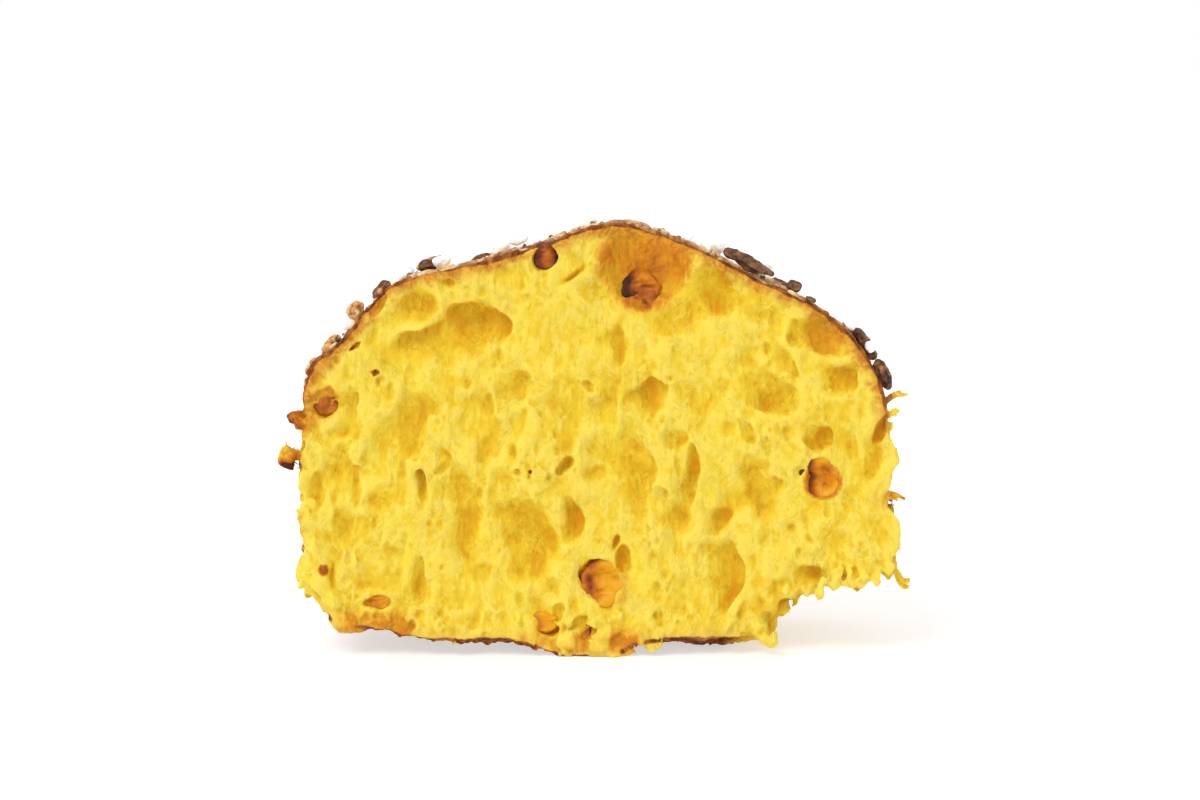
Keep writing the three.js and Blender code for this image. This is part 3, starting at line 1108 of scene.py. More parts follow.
    @staticmethod
    def cut_and_close(mesh: Mesh, face: Face) -> None:
        """Keeps the part of a mesh on one side of mid depth and closes it with a flat wall.

        Args:
            mesh: The crumb, which is changed.
            face: The side that is kept.
        """
        sculpt = bmesh.new()
        sculpt.from_mesh(mesh)
        everything = [*sculpt.verts, *sculpt.edges, *sculpt.faces]
        normal = (0, -face.value, 0)
        bmesh.ops.bisect_plane(sculpt, geom=everything, plane_co=(0, 0, 0), plane_no=normal, clear_outer=True)
        rim = [edge for edge in sculpt.edges if edge.is_boundary]
        filled = bmesh.ops.triangle_fill(sculpt, edges=rim, use_dissolve=False)["geom"]
        wall = [item for item in filled if isinstance(item, bmesh.types.BMFace)]
        for item in wall:
            item.normal_update()
            if item.normal.y * face.value > 0:
                item.normal_flip()
        for edge in rim:
            edge.smooth = False
        left_open = sum(edge.is_boundary for edge in sculpt.edges)
        LOG.info("wall: %d edges, %d faces, %d edges left open", len(rim), len(wall), left_open)
        sculpt.to_mesh(mesh)
        sculpt.free()


# ---------------------------------------------------------------------------
# What lies on the dome
# ---------------------------------------------------------------------------


@dataclass
class AlmondGlaze:
    """The almond and sugar glaze that cracked into islands as the dome rose under it.

    patch is the size of an island and chipped how far back from the cut it broke off, except at
    whole_edges, which are places along X and their half widths. axis_height and arc_radius unroll
    the dome, so that the islands are as large on its shoulders as on its crest.
    """

    patch: float = 9.0
    thickness: float = 0.85
    grit: float = 0.16
    sunk: float = 0.4
    edge_room: float = 0.6
    chipped: float = 3.4
    whole_edges: tuple[tuple[float, float], ...] = ((-58.0, 4.5), (-35.0, 5.5), (36.0, 6.0))
    lowest: float = 53.5
    cut: float = 19.0
    axis_height: float = 30.0
    arc_radius: float = 62.0
    kept_share: float = 0.55
    fewest_points: int = 60
    seed: int = 31

    def build(self, cake: CakeSlice) -> Piece:
        """Grows the glaze on the baked dome and makes it one mesh.

        Args:
            cake: The slice under it.

        Returns:
            The glaze as one piece.
        """
        grid = cake.field
        baked = cake.baked
        x, y, z = grid.coordinates()
        shell = (baked > -1.2) & (baked < 2.4) & (z > self.lowest - 1) & (np.abs(y) < self.cut + 0.2)
        cells = np.argwhere(shell)
        places = (cells + grid.first) * grid.voxel
        distance = baked[shell].astype(float)
        i, j, k = cells.T
        along_y = baked[i, j + 1, k] - baked[i, j - 1, k]
        steep = (np.abs(along_y) > 1.5 * grid.voxel) & (distance < 0.3)
        thick = self.thickness_at(places)[0]
        chipped = self.broken_edge(places) * smooth_step(-0.5, 0.1, noise_at(places, 7.0, self.seed + 10))
        back_off = self.edge_room + self.chipped * chipped
        edge = np.abs(places[:, 1]) - (self.cut - back_off) - 0.35 * noise_at(places, 1.6, self.seed + 8)
        solid = np.maximum(np.maximum(distance - thick, -(distance + self.sunk)), edge)
        solid[steep] = 1.0
        values = np.full(grid.shape, 3 * grid.voxel, np.float32)
        values[shell] = solid
        points, faces = grid.surface(values, self.fewest_points)
        mesh = make_mesh("almond_glaze_islands", points, faces)
        mesh = modified(mesh, "DECIMATE", ratio=self.kept_share)
        points = points_of(mesh)
        set_mark(mesh, "gap", self.thickness_at(points)[1])
        set_mark(mesh, "upper", smooth_step(0.0, 0.3, grid.sample(baked, points)))
        LOG.info("glaze: %d faces", len(mesh.polygons))
        self.piece = link(mesh.name, mesh)
        return self.piece

    def dress(self, finish: Finish) -> None:
        """Gives the glaze its finish and makes it stand for the CAD glaze."""
        self.piece.data.materials.append(finish)
        settle(self.piece, Slot.GLAZE, "almond_glaze")

    def broken_edge(self, places: Array) -> Array:
        """Where along the cut the glaze broke off, from 0 to 1.

        Args:
            places: Places in millimetres.

        Returns:
            One value for each place.
        """
        broken = np.ones(len(places))
        for middle, reach in self.whole_edges:
            broken *= smooth_step(reach - 1.5, reach + 1.5, np.abs(places[:, 0] - middle))
        return broken

    def thickness_at(self, points: Array) -> tuple[Array, Array]:
        """How thick the glaze is at each point.

        Args:
            points: Places in millimetres, one row each.

        Returns:
            The thickness, negative where there is none, and the distance to the nearest crack.
        """
        bend = 1.3 * noise_at(points, 4.0, self.seed)
        bend_more = 1.3 * noise_at(points, 4.0, self.seed + 1)
        arc = np.arctan2(points[:, 0], points[:, 2] - self.axis_height) * self.arc_radius
        flat = np.column_stack([arc + bend, points[:, 1] * 1.15 + bend_more])
        nearest, second = cell_noise(flat, self.patch, self.seed + 2)
        fine_nearest, fine_second = cell_noise(flat + 40, self.patch * 0.45, self.seed + 3)
        gap = np.minimum(second - nearest, 1.6 * (fine_second - fine_nearest) + 0.5)
        broad = noise_at(points, 11.0, self.seed + 4) + 0.5 * noise_at(points, 5.0, self.seed + 5)
        height = points[:, 2] + 3 * noise_at(points, 5.0, self.seed + 6)
        cover = smooth_step(-0.85, -0.5, broad) * smooth_step(self.lowest, self.lowest + 6, height)
        swell = smooth_step(0.2, 1.7, gap)
        grit = self.grit * (noise_at(points, 1.1, self.seed + 7) + 0.7 * noise_at(points, 2.6, self.seed + 9))
        edge = smooth_step(7.0, 1.5, self.cut - np.abs(points[:, 1]))
        broken = edge * self.broken_edge(points)
        full = self.thickness * (1 - 0.35 * edge - 0.4 * broken)
        thick = -0.7 + cover * swell * (full + 0.7) + grit * (1 - 0.5 * edge)
        return thick, gap - 3.0 * broken


@dataclass
class Dome:
    """The baked dome, as a surface that small pieces rest on."""

    cake: CakeSlice
    bedding: float = 0.35

    def settle_on(self, points: Array, sunk: float = 0.0) -> Array:
        """Moves a piece's points along the dome's slope until it sits in the glaze, or deeper.

        Args:
            points: The piece's points.
            sunk: How much deeper it goes.

        Returns:
            The points' new places.
        """
        middle = points.mean(axis=0)
        grid, baked = self.cake.field, self.cake.baked
        outward = grid.slope(baked, middle)
        lowest = float(grid.sample(baked, points).min())
        return points - outward * (lowest - self.bedding + sunk)


def own_axes(points: Array) -> tuple[Array, Array]:
    """A piece's points along its own long, middle and short directions, and those directions."""
    centred = points - points.mean(axis=0)
    directions = np.linalg.svd(centred, full_matrices=False)[2]
    return centred @ directions.T, directions


def stretched(points: Array, scale: Triple) -> Array:
    """A piece's points, scaled along its own long, middle and short directions."""
    own, directions = own_axes(points)
    return points.mean(axis=0) + (own * scale) @ directions


@dataclass
class Pieces:
    """Small pieces of one kind, each of which stands for its own CAD node."""

    SLOT = Slot.SUGAR
    pieces: list[tuple[Piece, str]] = field(default_factory=list)

    def keep(self, name: str, mesh: Mesh, node: str) -> None:
        """Adds a piece to the scene and remembers its node."""
        self.pieces.append((link(name, mesh), node))

    def dress(self, finish: Finish) -> None:
        """Gives the pieces their finish and makes each stand for its node."""
        for piece, node in self.pieces:
            piece.data.materials.append(finish)
            settle(piece, self.SLOT, node)


@dataclass
class PearlSugar(Pieces):
    """Nibs of pressed white sugar: irregular, chalky and slightly melted into the glaze."""

    smallest: float = 0.85
    largest: float = 1.4
    proud: float = 0.2
    crest_bedding: float = 1.0
    crest_reach: float = 9.0
    lump: float = 0.42
    facet: float = 0.24
    grain: float = 0.07
    seed: int = 51

    def build(self, dome: Dome) -> None:
        """Makes one nib for each sugar node.

        Args:
            dome: What they rest on.
        """
        for index, node in enumerate(nodes_of("pearl_sugar")):
            mesh = subdivided_node(node, 2)
            points, normals = points_of(mesh), normals_of(mesh)
            seed = self.seed + 7 * index
            shift = self.lump * noise_at(points, 1.7, seed) + self.grain * noise_at(points, 0.36, seed + 1)
            shift += self.facet * np.abs(noise_at(points, 0.9, seed + 2))
            chance = np.random.default_rng(seed)
            points = stretched(points, tuple(chance.uniform(self.smallest, self.largest, 3)))
            sunk = self.crest_bedding if abs(points[:, 0].mean()) < self.crest_reach else -self.proud
            move_points(mesh, dome.settle_on(points + normals * shift[:, None], sunk))
            self.keep(f"sugar_nib_{index + 1:02d}", mesh, node)


@dataclass
class AlmondChips(Pieces):
    """Roasted almonds with their skins, whole or in broken chips, ridged along their length."""

    SLOT = Slot.ALMOND
    ridge: float = 0.34
    lump: float = 0.42
    crackle: float = 0.12
    pale_bedding: float = 0.9
    large_scale: Triple = (1.25, 1.15, 0.95)
    large_bedding: float = 0.6
    large_nodes: tuple[str, ...] = ("almond_chip_04", "almond_chip_05")
    pale_nodes: tuple[str, ...] = ("almond_chip_06", "almond_chip_07")
    crest_bedding: float = 1.7
    crest_nodes: tuple[str, ...] = ("almond_chip_12", "almond_chip_13")
    seed: int = 71

    def build(self, dome: Dome) -> None:
        """Makes one chip for each almond node.

        Args:
            dome: What they rest on.
        """
        for index, node in enumerate(nodes_of("almond_chip")):
            mesh = subdivided_node(node, 3)
            points, normals = points_of(mesh), normals_of(mesh)
            if node in self.large_nodes:
                points = stretched(points, self.large_scale)
            own = own_axes(points)[0]
            seed = self.seed + 5 * index
            pale = node in self.pale_nodes
            shift = self.ridge * (1 - 2 * np.abs(noise_at(own, (5.0, 0.9, 0.7), seed)))
            shift += self.lump * (1.6 if pale else 1.0) * noise_at(own, 1.5, seed + 1)
            shift += self.crackle * noise_at(own, (0.9, 0.5, 0.5), seed + 2)
            move_points(mesh, dome.settle_on(points + normals * shift[:, None], self.bedding_of(node)))
            bare = smooth_step(0.0, 0.5, noise_at(own, 2.2, seed + 3) - (-0.5 if pale else 0.35))
            set_mark(mesh, "bare", np.clip(bare + (0.6 if pale else 0.0), 0, 1))
            # This mark paints shade in the grooves of the skin.
            set_mark(mesh, "groove", shift)
            self.keep(f"roasted_almond_{index + 1:02d}", mesh, node)

    def bedding_of(self, node: str) -> float:
        """How much deeper than the others a chip sits.

        Args:
            node: The chip's node.

        Returns:
            The depth in millimetres.
        """
        beddings = {
            self.pale_nodes: self.pale_bedding, self.crest_nodes: self.crest_bedding,
            self.large_nodes: self.large_bedding,
        }
        return next((depth for nodes, depth in beddings.items() if node in nodes), 0.0)


@dataclass
class CandiedPeel(Pieces):
    """Candied orange peel: soft amber cubes that shrank and wrinkled in the oven."""

    SLOT = Slot.PEEL
    softness: float = 0.7
    lump: float = 0.5
    wrinkle: float = 0.26
    least_height: float = 0.05
    seed: int = 91

    # How dark each piece is at its left and at its right, from 0 to 1: its own tone, with painted shade
    # making one side darker than the other; how far it swells sideways, how deep its front is dished and how
    # far the rising dough lifted it.
    PIECES = {
        "candied_peel_under_dome": (1.0, 0.5, 0.7, 1.9, 0.0),
        "candied_peel_top_edge": (0.9, 0.7, 0.5, 0.3, 1.5),
        "candied_peel_left_shoulder": (0.5, 0.6, 0.7, 0.2, 0.0),
        "candied_peel_right_hole": (1.0, 0.2, 1.7, 2.4, 0.0),
        "candied_peel_lower_middle": (0.62, 0.0, 1.5, 1.6, 0.4),
        "candied_peel_base_left": (0.2, 0.3, 0.4, 0.6, 0.0),
        "candied_peel_base_middle": (0.4, 0.2, 0.4, 0.8, 0.0),
        "candied_peel_base_lump": (0.5, 0.62, 0.5, 0.0, 0.0),
    }

    def build(self) -> None:
        """Makes one wrinkled piece for each peel node."""
        for index, (node, (left, right, swell, dish, lift)) in enumerate(self.PIECES.items()):
            mesh = subdivided_node(node, 3)
            points, normals = self.rounded(points_of(mesh)), normals_of(mesh)
            points[:, 2] += lift
            middle, half = self.middle_of(points)
            seed = self.seed + 5 * index
            shift = self.lump * noise_at(points, 2.8, seed)
            shift += self.wrinkle * (1 - 2 * np.abs(noise_at(points, (1.5, 1.5, 0.9), seed + 1)))
            sideways = np.hypot(normals[:, 0], normals[:, 2])
            points = self.dished(points + normals * (shift + swell * sideways)[:, None], dish)
            points[:, 2] = np.maximum(points[:, 2], self.least_height)
            move_points(mesh, points)
            # Painted shade: one side of the piece is darker than the other.
            share = np.clip((points[:, 0] - middle[0]) / half[0] * 0.5 + 0.5, 0, 1)
            dark = left + (right - left) * smooth_step(0.1, 0.5, share)
            set_mark(mesh, "dark", np.clip(dark + 0.26 * noise_at(points, 1.8, seed + 2), 0, 1))
            # This mark also paints shade: the finish darkens the creases of the wrinkles.
            set_mark(mesh, "wrinkle", shift)
            self.keep(node.replace("candied_peel", "orange_peel"), mesh, node)

    @staticmethod
    def middle_of(points: Array) -> tuple[Array, Array]:
        """The middle and the half size of a piece's box."""
        low, high = points.min(axis=0), points.max(axis=0)
        return (low + high) / 2, (high - low) / 2

    def rounded(self, points: Array) -> Array:
        """Softens a piece's corners, as the syrup did.

        Args:
            points: The piece's points.

        Returns:
            The points' new places.
        """
        middle, half = self.middle_of(points)
        place = (points - middle) / half
        round_place = place / np.linalg.norm(place, axis=1, keepdims=True)
        return middle + half * (place + (round_place - place) * self.softness)

    def dished(self, points: Array, depth: float) -> Array:
        """Pushes the middle of the front inwards, as the cut peel shrank.

        Args:
            points: The piece's points.
            depth: How deep the dish is.

        Returns:
            The points' new places.
        """
        middle, half = self.middle_of(points)
        place = (points - middle) / half
        inner = smooth_step(1.0, 0.2, np.hypot(place[:, 0], place[:, 2]))
        front = smooth_step(0.1, -0.8, place[:, 1])
        moved = points.copy()
        moved[:, 1] += depth * inner * front
        return moved


# ---------------------------------------------------------------------------
# Grains and strands, strewn with Geometry Nodes
# ---------------------------------------------------------------------------


def grain_mesh(name: str, size: Triple, rings: int, sides: int, rough: float, seed: int) -> Mesh:
    """A small closed lump, round or drawn out along Z.

    Args:
        name: The mesh's name.
        size: Its width, depth and height in millimetres.
        rings: How many rings of points it has between its two ends.
        sides: How many points each ring has.
        rough: How uneven it is, as a share of its size.
        seed: Picks its unevenness.

    Returns:
        The mesh, with its middle at the origin.
    """
    rows = [(0.0, 0.0, -1.0)]
    for ring in range(rings):
        rise = math.pi * (ring + 1) / (rings + 1)
        for side in range(sides):
            turn = math.tau * (side + 0.5 * (ring % 2)) / sides
            rows.append((math.sin(rise) * math.cos(turn), math.sin(rise) * math.sin(turn), -math.cos(rise)))
    rows.append((0.0, 0.0, 1.0))
    points = np.array(rows)
    points *= 1 + rough * noise_at(points * 3, 1.4, seed)[:, None]
    last = len(points) - 1
    faces = []
    for side in range(sides):
        after = (side + 1) % sides
        faces.append((0, 1 + after, 1 + side))
        faces.append((last, last - sides + side, last - sides + after))
        for ring in range(rings - 1):
            low = 1 + ring * sides
            high = low + sides
            faces.append((low + side, low + after, high + side))
            faces.append((low + after, high + after, high + side))
    return make_mesh(name, points * np.array(size) / 2, np.array(faces))


@dataclass(frozen=True)
class Strewn:
    """Small pieces strewn over a surface: how many, how large, and how they turn."""

    name: str
    mark: str
    per_square_cm: float
    smallest: float
    largest: float
    turn: float
    seed: int

    def build(self, ground: Piece, grain: Mesh, finish: Finish) -> Piece:
        """Strews copies of a grain over the ground and makes them one mesh.

        Args:
            ground: The piece whose surface they lie on.
            grain: The shape that is repeated.
            finish: The material of all of them.

        Returns:
            The grains as one piece.
        """
        pattern = link(f"{self.name}_pattern", grain)
        carrier = link(f"{self.name}_carrier", ground.data.copy())
        strewing = carrier.modifiers.new("strewing", "NODES")
        tree, sockets = self.tree(finish)
        strewing.node_group = tree
        values = {
            "Grain": pattern, "Density": self.per_square_cm * 10000, "Smallest": self.smallest,
            "Largest": self.largest, "Turn": math.radians(self.turn), "Seed": self.seed,
        }
        for title, value in values.items():
            strewing[sockets[title]] = value
        piece = link(self.name, evaluated_mesh(carrier, self.name))
        points = points_of(piece.data)
        points[:, 2] = np.maximum(points[:, 2], ABOVE_FLOOR)
        move_points(piece.data, points)
        bpy.data.objects.remove(carrier)
        bpy.data.objects.remove(pattern)
        LOG.info("%s: %d faces", self.name, len(piece.data.polygons))
        return piece

    def tree(self, finish: Finish) -> tuple[Tree, dict[str, str]]:
        """Builds the node tree, and returns it with its input sockets' identifiers.

        Args:
            finish: The material of all the copies.

        Returns:
            The tree and the identifiers.
        """
        tree = bpy.data.node_groups.new(self.name, "GeometryNodeTree")
        kinds = {
            "Geometry": "Geometry", "Grain": "Object", "Density": "Float", "Smallest": "Float",
            "Largest": "Float", "Turn": "Float", "Seed": "Int",
        }
        face = tree.interface
        sockets = {
            title: face.new_socket(name=title, in_out="INPUT", socket_type=f"NodeSocket{kind}").identifier
            for title, kind in kinds.items()
        }
        face.new_socket(name="Geometry", in_out="OUTPUT", socket_type="NodeSocketGeometry")
        given = add_node(tree, "NodeGroupInput").outputs
        mark = add_node(tree, "GeometryNodeInputNamedAttribute", {"Name": self.mark}, data_type="FLOAT")
        factors = {0: given["Density"], 1: mark.outputs[0]}
        density = add_node(tree, "ShaderNodeMath", factors, operation="MULTIPLY")
        inputs = {"Mesh": given["Geometry"], "Density": density.outputs[0], "Seed": given["Seed"]}
        spots = add_node(tree, "GeometryNodeDistributePointsOnFaces", inputs).outputs
        least = add_node(tree, "ShaderNodeMath", {0: given["Turn"], 1: -1.0}, operation="MULTIPLY")
        inputs = {"Min": least.outputs[0], "Max": given["Turn"], "Seed": given["Seed"]}
        spin = add_node(tree, "FunctionNodeRandomValue", inputs, data_type="FLOAT_VECTOR")
        by = add_node(tree, "FunctionNodeEulerToRotation", {0: spin.outputs[0]})
        inputs = {"Rotation": spots["Rotation"], "Rotate By": by.outputs[0]}
        turned = add_node(tree, "FunctionNodeRotateRotation", inputs, rotation_space="LOCAL")
        inputs = {2: given["Smallest"], 3: given["Largest"], "Seed": given["Seed"]}
        size = add_node(tree, "FunctionNodeRandomValue", inputs, data_type="FLOAT")
        shape = add_node(tree, "GeometryNodeObjectInfo", {"Object": given["Grain"]})
        inputs = {
            "Points": spots["Points"], "Instance": shape.outputs["Geometry"],
            "Rotation": turned.outputs[0], "Scale": size.outputs[1],
        }
        copies = add_node(tree, "GeometryNodeInstanceOnPoints", inputs)
        real = add_node(tree, "GeometryNodeRealizeInstances", {0: copies.outputs[0]})
        dressed = add_node(tree, "GeometryNodeSetMaterial", {"Geometry": real.outputs[0], "Material": finish})
        add_node(tree, "NodeGroupOutput", {0: dressed.outputs[0]})
        return tree, sockets


# ---------------------------------------------------------------------------
# Finishes
# ---------------------------------------------------------------------------


def srgb(code: str) -> tuple[float, float, float, float]:
    """A colour from its sRGB hex code, as linear red, green, blue and alpha."""
    parts = [int(code[i : i + 2], 16) / 255 for i in (1, 3, 5)]
    linear = [p / 12.92 if p <= 0.04045 else ((p + 0.055) / 1.055) ** 2.4 for p in parts]
    return (*linear, 1.0)


def add_node(tree: Tree, kind: str, inputs: dict[Any, Any] | None = None, **settings: Any) -> Node:
    """Adds a node to a tree.

    Args:
        tree: The node tree.
        kind: The node's type.
        inputs: Values or sockets for its inputs, by name or number.
        settings: Its other settings. The stops of a ramp are values, each with an sRGB code.

    Returns:
        The node.
    """
    node = tree.nodes.new(kind)
    stops = settings.pop("stops", ())
    for name, value in settings.items():
        setattr(node, name, value)
    if stops:
        elements = node.color_ramp.elements
        for _ in stops[2:]:
            elements.new(0.5)
        for element, (at, code) in zip(elements, stops):
            element.position, element.color = at, srgb(code)
    set_inputs(tree, node, inputs or {})
    return node


def set_inputs(tree: Tree, node: Node, inputs: dict[Any, Any]) -> None:
    """Sets a node's inputs by name or number, each to a value or to what a socket gives.

    Args:
        tree: The node tree.
        node: The node.
        inputs: Values or sockets.
    """
    for name, value in inputs.items():
        if isinstance(value, Socket):
            tree.links.new(value, node.inputs[name])
        else:
            node.inputs[name].default_value = value


# What the finishes are made of: for each kind of node its type, its inputs in the order in which the
# finishes give them, its output and its usual settings.
KINDS = {
    "mark": ("Attribute", (), "Fac", {}),
    "plus": ("Math", (0, 1), 0, {"operation": "ADD"}),
    "minus": ("Math", (0, 1), 0, {"operation": "SUBTRACT"}),
    "times": ("Math", (0, 1), 0, {"operation": "MULTIPLY"}),
    "most": ("Math", (0, 1), 0, {"operation": "MAXIMUM"}),
    "absolute": ("Math", (0,), 0, {"operation": "ABSOLUTE"}),
    "spread": ("MapRange", (0, 1, 2, 3, 4), 0, {"interpolation_type": "SMOOTHSTEP"}),
    "ramp": ("ValToRGB", (0,), 0, {}),
    "blend": ("Mix", (0, 6, 7), 2, {"data_type": "RGBA", "clamp_result": True}),
    "bump": ("Bump", ("Height", "Distance", "Normal"), 0, {}),
    "placed": ("Mapping", ("Vector", "Scale", "Rotation"), 0, {"vector_type": "TEXTURE"}),
    "noise": ("TexNoise", ("Vector", "Scale", "Detail", "Roughness"), 0, {}),
    "swirl": ("TexNoise", ("Vector", "Scale"), "Color", {}),
    "cells": ("TexVoronoi", ("Vector", "Scale"), "Distance", {}),
    "scaled": ("VectorMath", (0, "Scale"), 0, {"operation": "SCALE"}),
    "shifted": ("VectorMath", (0, 1), 0, {"operation": "ADD"}),
}


class Surface:
    """A material being made: its nodes, with the few steps that every finish here repeats."""

    def __init__(self, name: str) -> None:
        """Starts an empty material with a Principled surface.

        Args:
            name: The material's name.
        """
        self.material = bpy.data.materials.new(name)
        self.material.use_nodes = True
        self.tree = self.material.node_tree
        self.tree.nodes.clear()
        self.shader = add_node(self.tree, "ShaderNodeBsdfPrincipled")
        add_node(self.tree, "ShaderNodeOutputMaterial", {"Surface": self.shader.outputs[0]})
        self.place = add_node(self.tree, "ShaderNodeTexCoord").outputs["Object"]

    def add(self, kind: str, *inputs: Any, **settings: Any) -> Socket:
        """Adds a node of one of the kinds, and returns its output.

        Args:
            kind: Its name in KINDS.
            inputs: Values or sockets, in the kind's order.
            settings: Settings that are its own.

        Returns:
            The node's output.
        """
        name, order, output, usual = KINDS[kind]
        node = add_node(self.tree, f"ShaderNode{name}", dict(zip(order, inputs)), **usual, **settings)
        return node.outputs[output]

    def total(self, *values: Any) -> Socket:
        """The sum of several values."""
        return reduce(lambda so_far, value: self.add("plus", so_far, value), values)

    def noise(
        self, size: float, detail: float = 3, roughness: float = 0.5, tilt: float = 0,
        stretch: Triple = (1, 1, 1),
    ) -> Socket:
        """Noise from 0 to 1.

        Args:
            size: The size of its bumps in millimetres.
            detail: How many finer layers it has.
            roughness: How strong the finer layers are.
            tilt: Its turn in the cut face, in degrees.
            stretch: How many times longer the bumps are along each axis.

        Returns:
            The noise's value.
        """
        placed = self.add("placed", self.place, stretch, (0, math.radians(tilt), 0))
        return self.add("noise", placed, 1 / (size * MM), detail, roughness)

    def bend(self, size: float, reach: float) -> None:
        """Bends the places of the patterns that follow, in swirls of a size and a reach in millimetres."""
        swirl = self.add("swirl", self.place, 1 / (size * MM))
        self.place = self.add("shifted", self.place, self.add("scaled", swirl, reach * MM))

    def soften(self, weight: float, radius: Triple, reach: float) -> None:
        """Lets light through, as far as reach in millimetres, shared out over red, green and blue."""
        self.shader.subsurface_method = "RANDOM_WALK"
        self.finish(Subsurface_Weight=weight, Subsurface_Radius=radius, Subsurface_Scale=reach * MM)

    def finish(self, **inputs: Any) -> Finish:
        """Sets the surface's own values by name, with _ for a space, and returns the material."""
        named = {name.replace("_", " "): value for name, value in inputs.items()}
        set_inputs(self.tree, self.shader, named)
        return self.material


